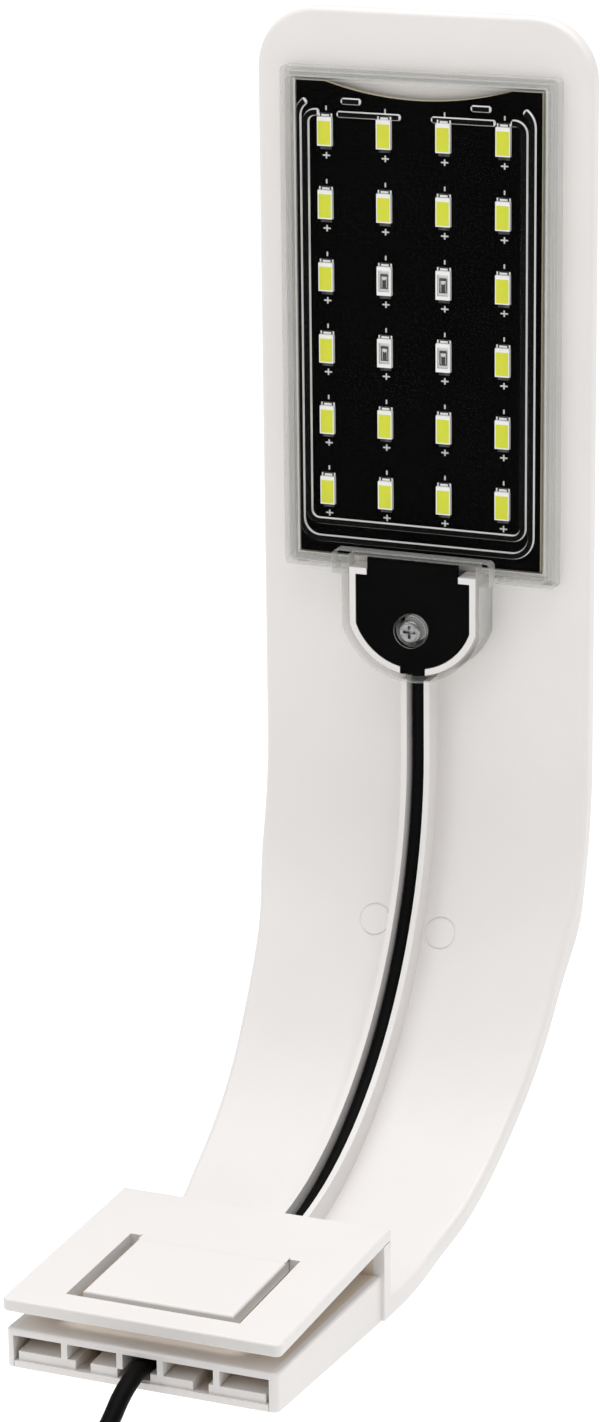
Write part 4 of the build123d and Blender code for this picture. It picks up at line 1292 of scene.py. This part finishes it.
@dataclass
class Studio:
    """The floor, the soft lights and the camera."""

    camera_at: Point = (0.3013, -0.6921, 0.3429)
    yaw: float = radians(22.708)
    pitch: float = radians(17.482)
    roll: float = radians(0.664)
    lens: float = 109.86
    sensor: float = 36.0
    floor_size: float = 14.0
    floor_colour: Colour = (0.35, 0.35, 0.348)
    floor_glow: float = 2.6
    world_colour: Colour = (1.0, 1.0, 1.0)
    world_strength: float = 0.45

    def place_camera(self) -> None:
        """Makes the camera and points it at the light."""
        data = bpy.data.cameras.new("camera")
        data.lens = self.lens
        data.sensor_width = self.sensor
        data.sensor_fit = "AUTO"
        camera = bpy.data.objects.new("camera", data)
        bpy.context.scene.collection.objects.link(camera)
        right = Vector((cos(self.yaw), sin(self.yaw), 0.0))
        ahead = Vector(
            (-sin(self.yaw) * cos(self.pitch), cos(self.yaw) * cos(self.pitch), -sin(self.pitch))
        )
        down = ahead.cross(right)
        level = right * cos(self.roll) + down * sin(self.roll)
        below = down * cos(self.roll) - right * sin(self.roll)
        turn = Matrix((level, -below, -ahead)).transposed()
        camera.matrix_world = Matrix.Translation(self.camera_at) @ turn.to_4x4()
        bpy.context.scene.camera = camera

    def lay_floor(self) -> None:
        """Lays a plain pale floor under the light."""
        bpy.ops.mesh.primitive_plane_add(size=self.floor_size, location=(0.0, 0.0, CAD_BOX[0].z))
        floor = bpy.context.object
        floor.name = "studio_floor"
        bpy.ops.object.transform_apply(location=True, rotation=True, scale=True)
        plain = Finish(
            "studio_floor", self.floor_colour, self.floor_colour, 0.9,
            grain_depth=0.0, specular=0.0, glow=self.floor_glow,
        )
        floor.data.materials.append(plain.material())

    def hang_lights(self) -> None:
        """Hangs soft area lights round the light and lights the room evenly."""
        world = bpy.data.worlds.new("studio")
        world.use_nodes = True
        background = world.node_tree.nodes["Background"]
        background.inputs["Color"].default_value = (*self.world_colour, 1.0)
        background.inputs["Strength"].default_value = self.world_strength
        bpy.context.scene.world = world
        self._area("overhead", (0.1, 0.1, 1.5), (0.0, 0.05, 0.05), 1.4, 21.0)
        self._area("front_left", (-0.9, -1.1, 0.9), (0.0, 0.05, 0.1), 0.7, 3.0)

    @staticmethod
    def _area(name: str, place: Point, target: Point, size: float, power: float) -> None:
        """Hangs one square light.

        Args:
            name: the light's name.
            place: where it hangs.
            target: the point that it faces.
            size: its side.
            power: its power in watts.
        """
        data = bpy.data.lights.new(name, "AREA")
        data.size = size
        data.energy = power
        lamp = bpy.data.objects.new(name, data)
        bpy.context.scene.collection.objects.link(lamp)
        lamp.location = place
        lamp.rotation_mode = "QUATERNION"
        lamp.rotation_quaternion = (Vector(target) - Vector(place)).to_track_quat("-Z", "Y")

    def build(self) -> None:
        """Sets up the whole studio."""
        view = bpy.context.scene.view_settings
        view.view_transform = "Standard"
        self.lay_floor()
        self.hang_lights()
        self.place_camera()


def main() -> None:
    """Builds the looks of the light, sub-assembly by sub-assembly."""
    logging.basicConfig(level=logging.INFO, format="%(name)s: %(message)s")
    Studio().build()
    wardrobe = Wardrobe()
    wardrobe.dress_frame()
    SupplyCord().build(wardrobe)
    ClearCover().build(wardrobe)
    LampDetails().build(wardrobe)
    InsertLip().build(wardrobe)
    TongueWeb().build(wardrobe)


if __name__ == "__main__":
    main()
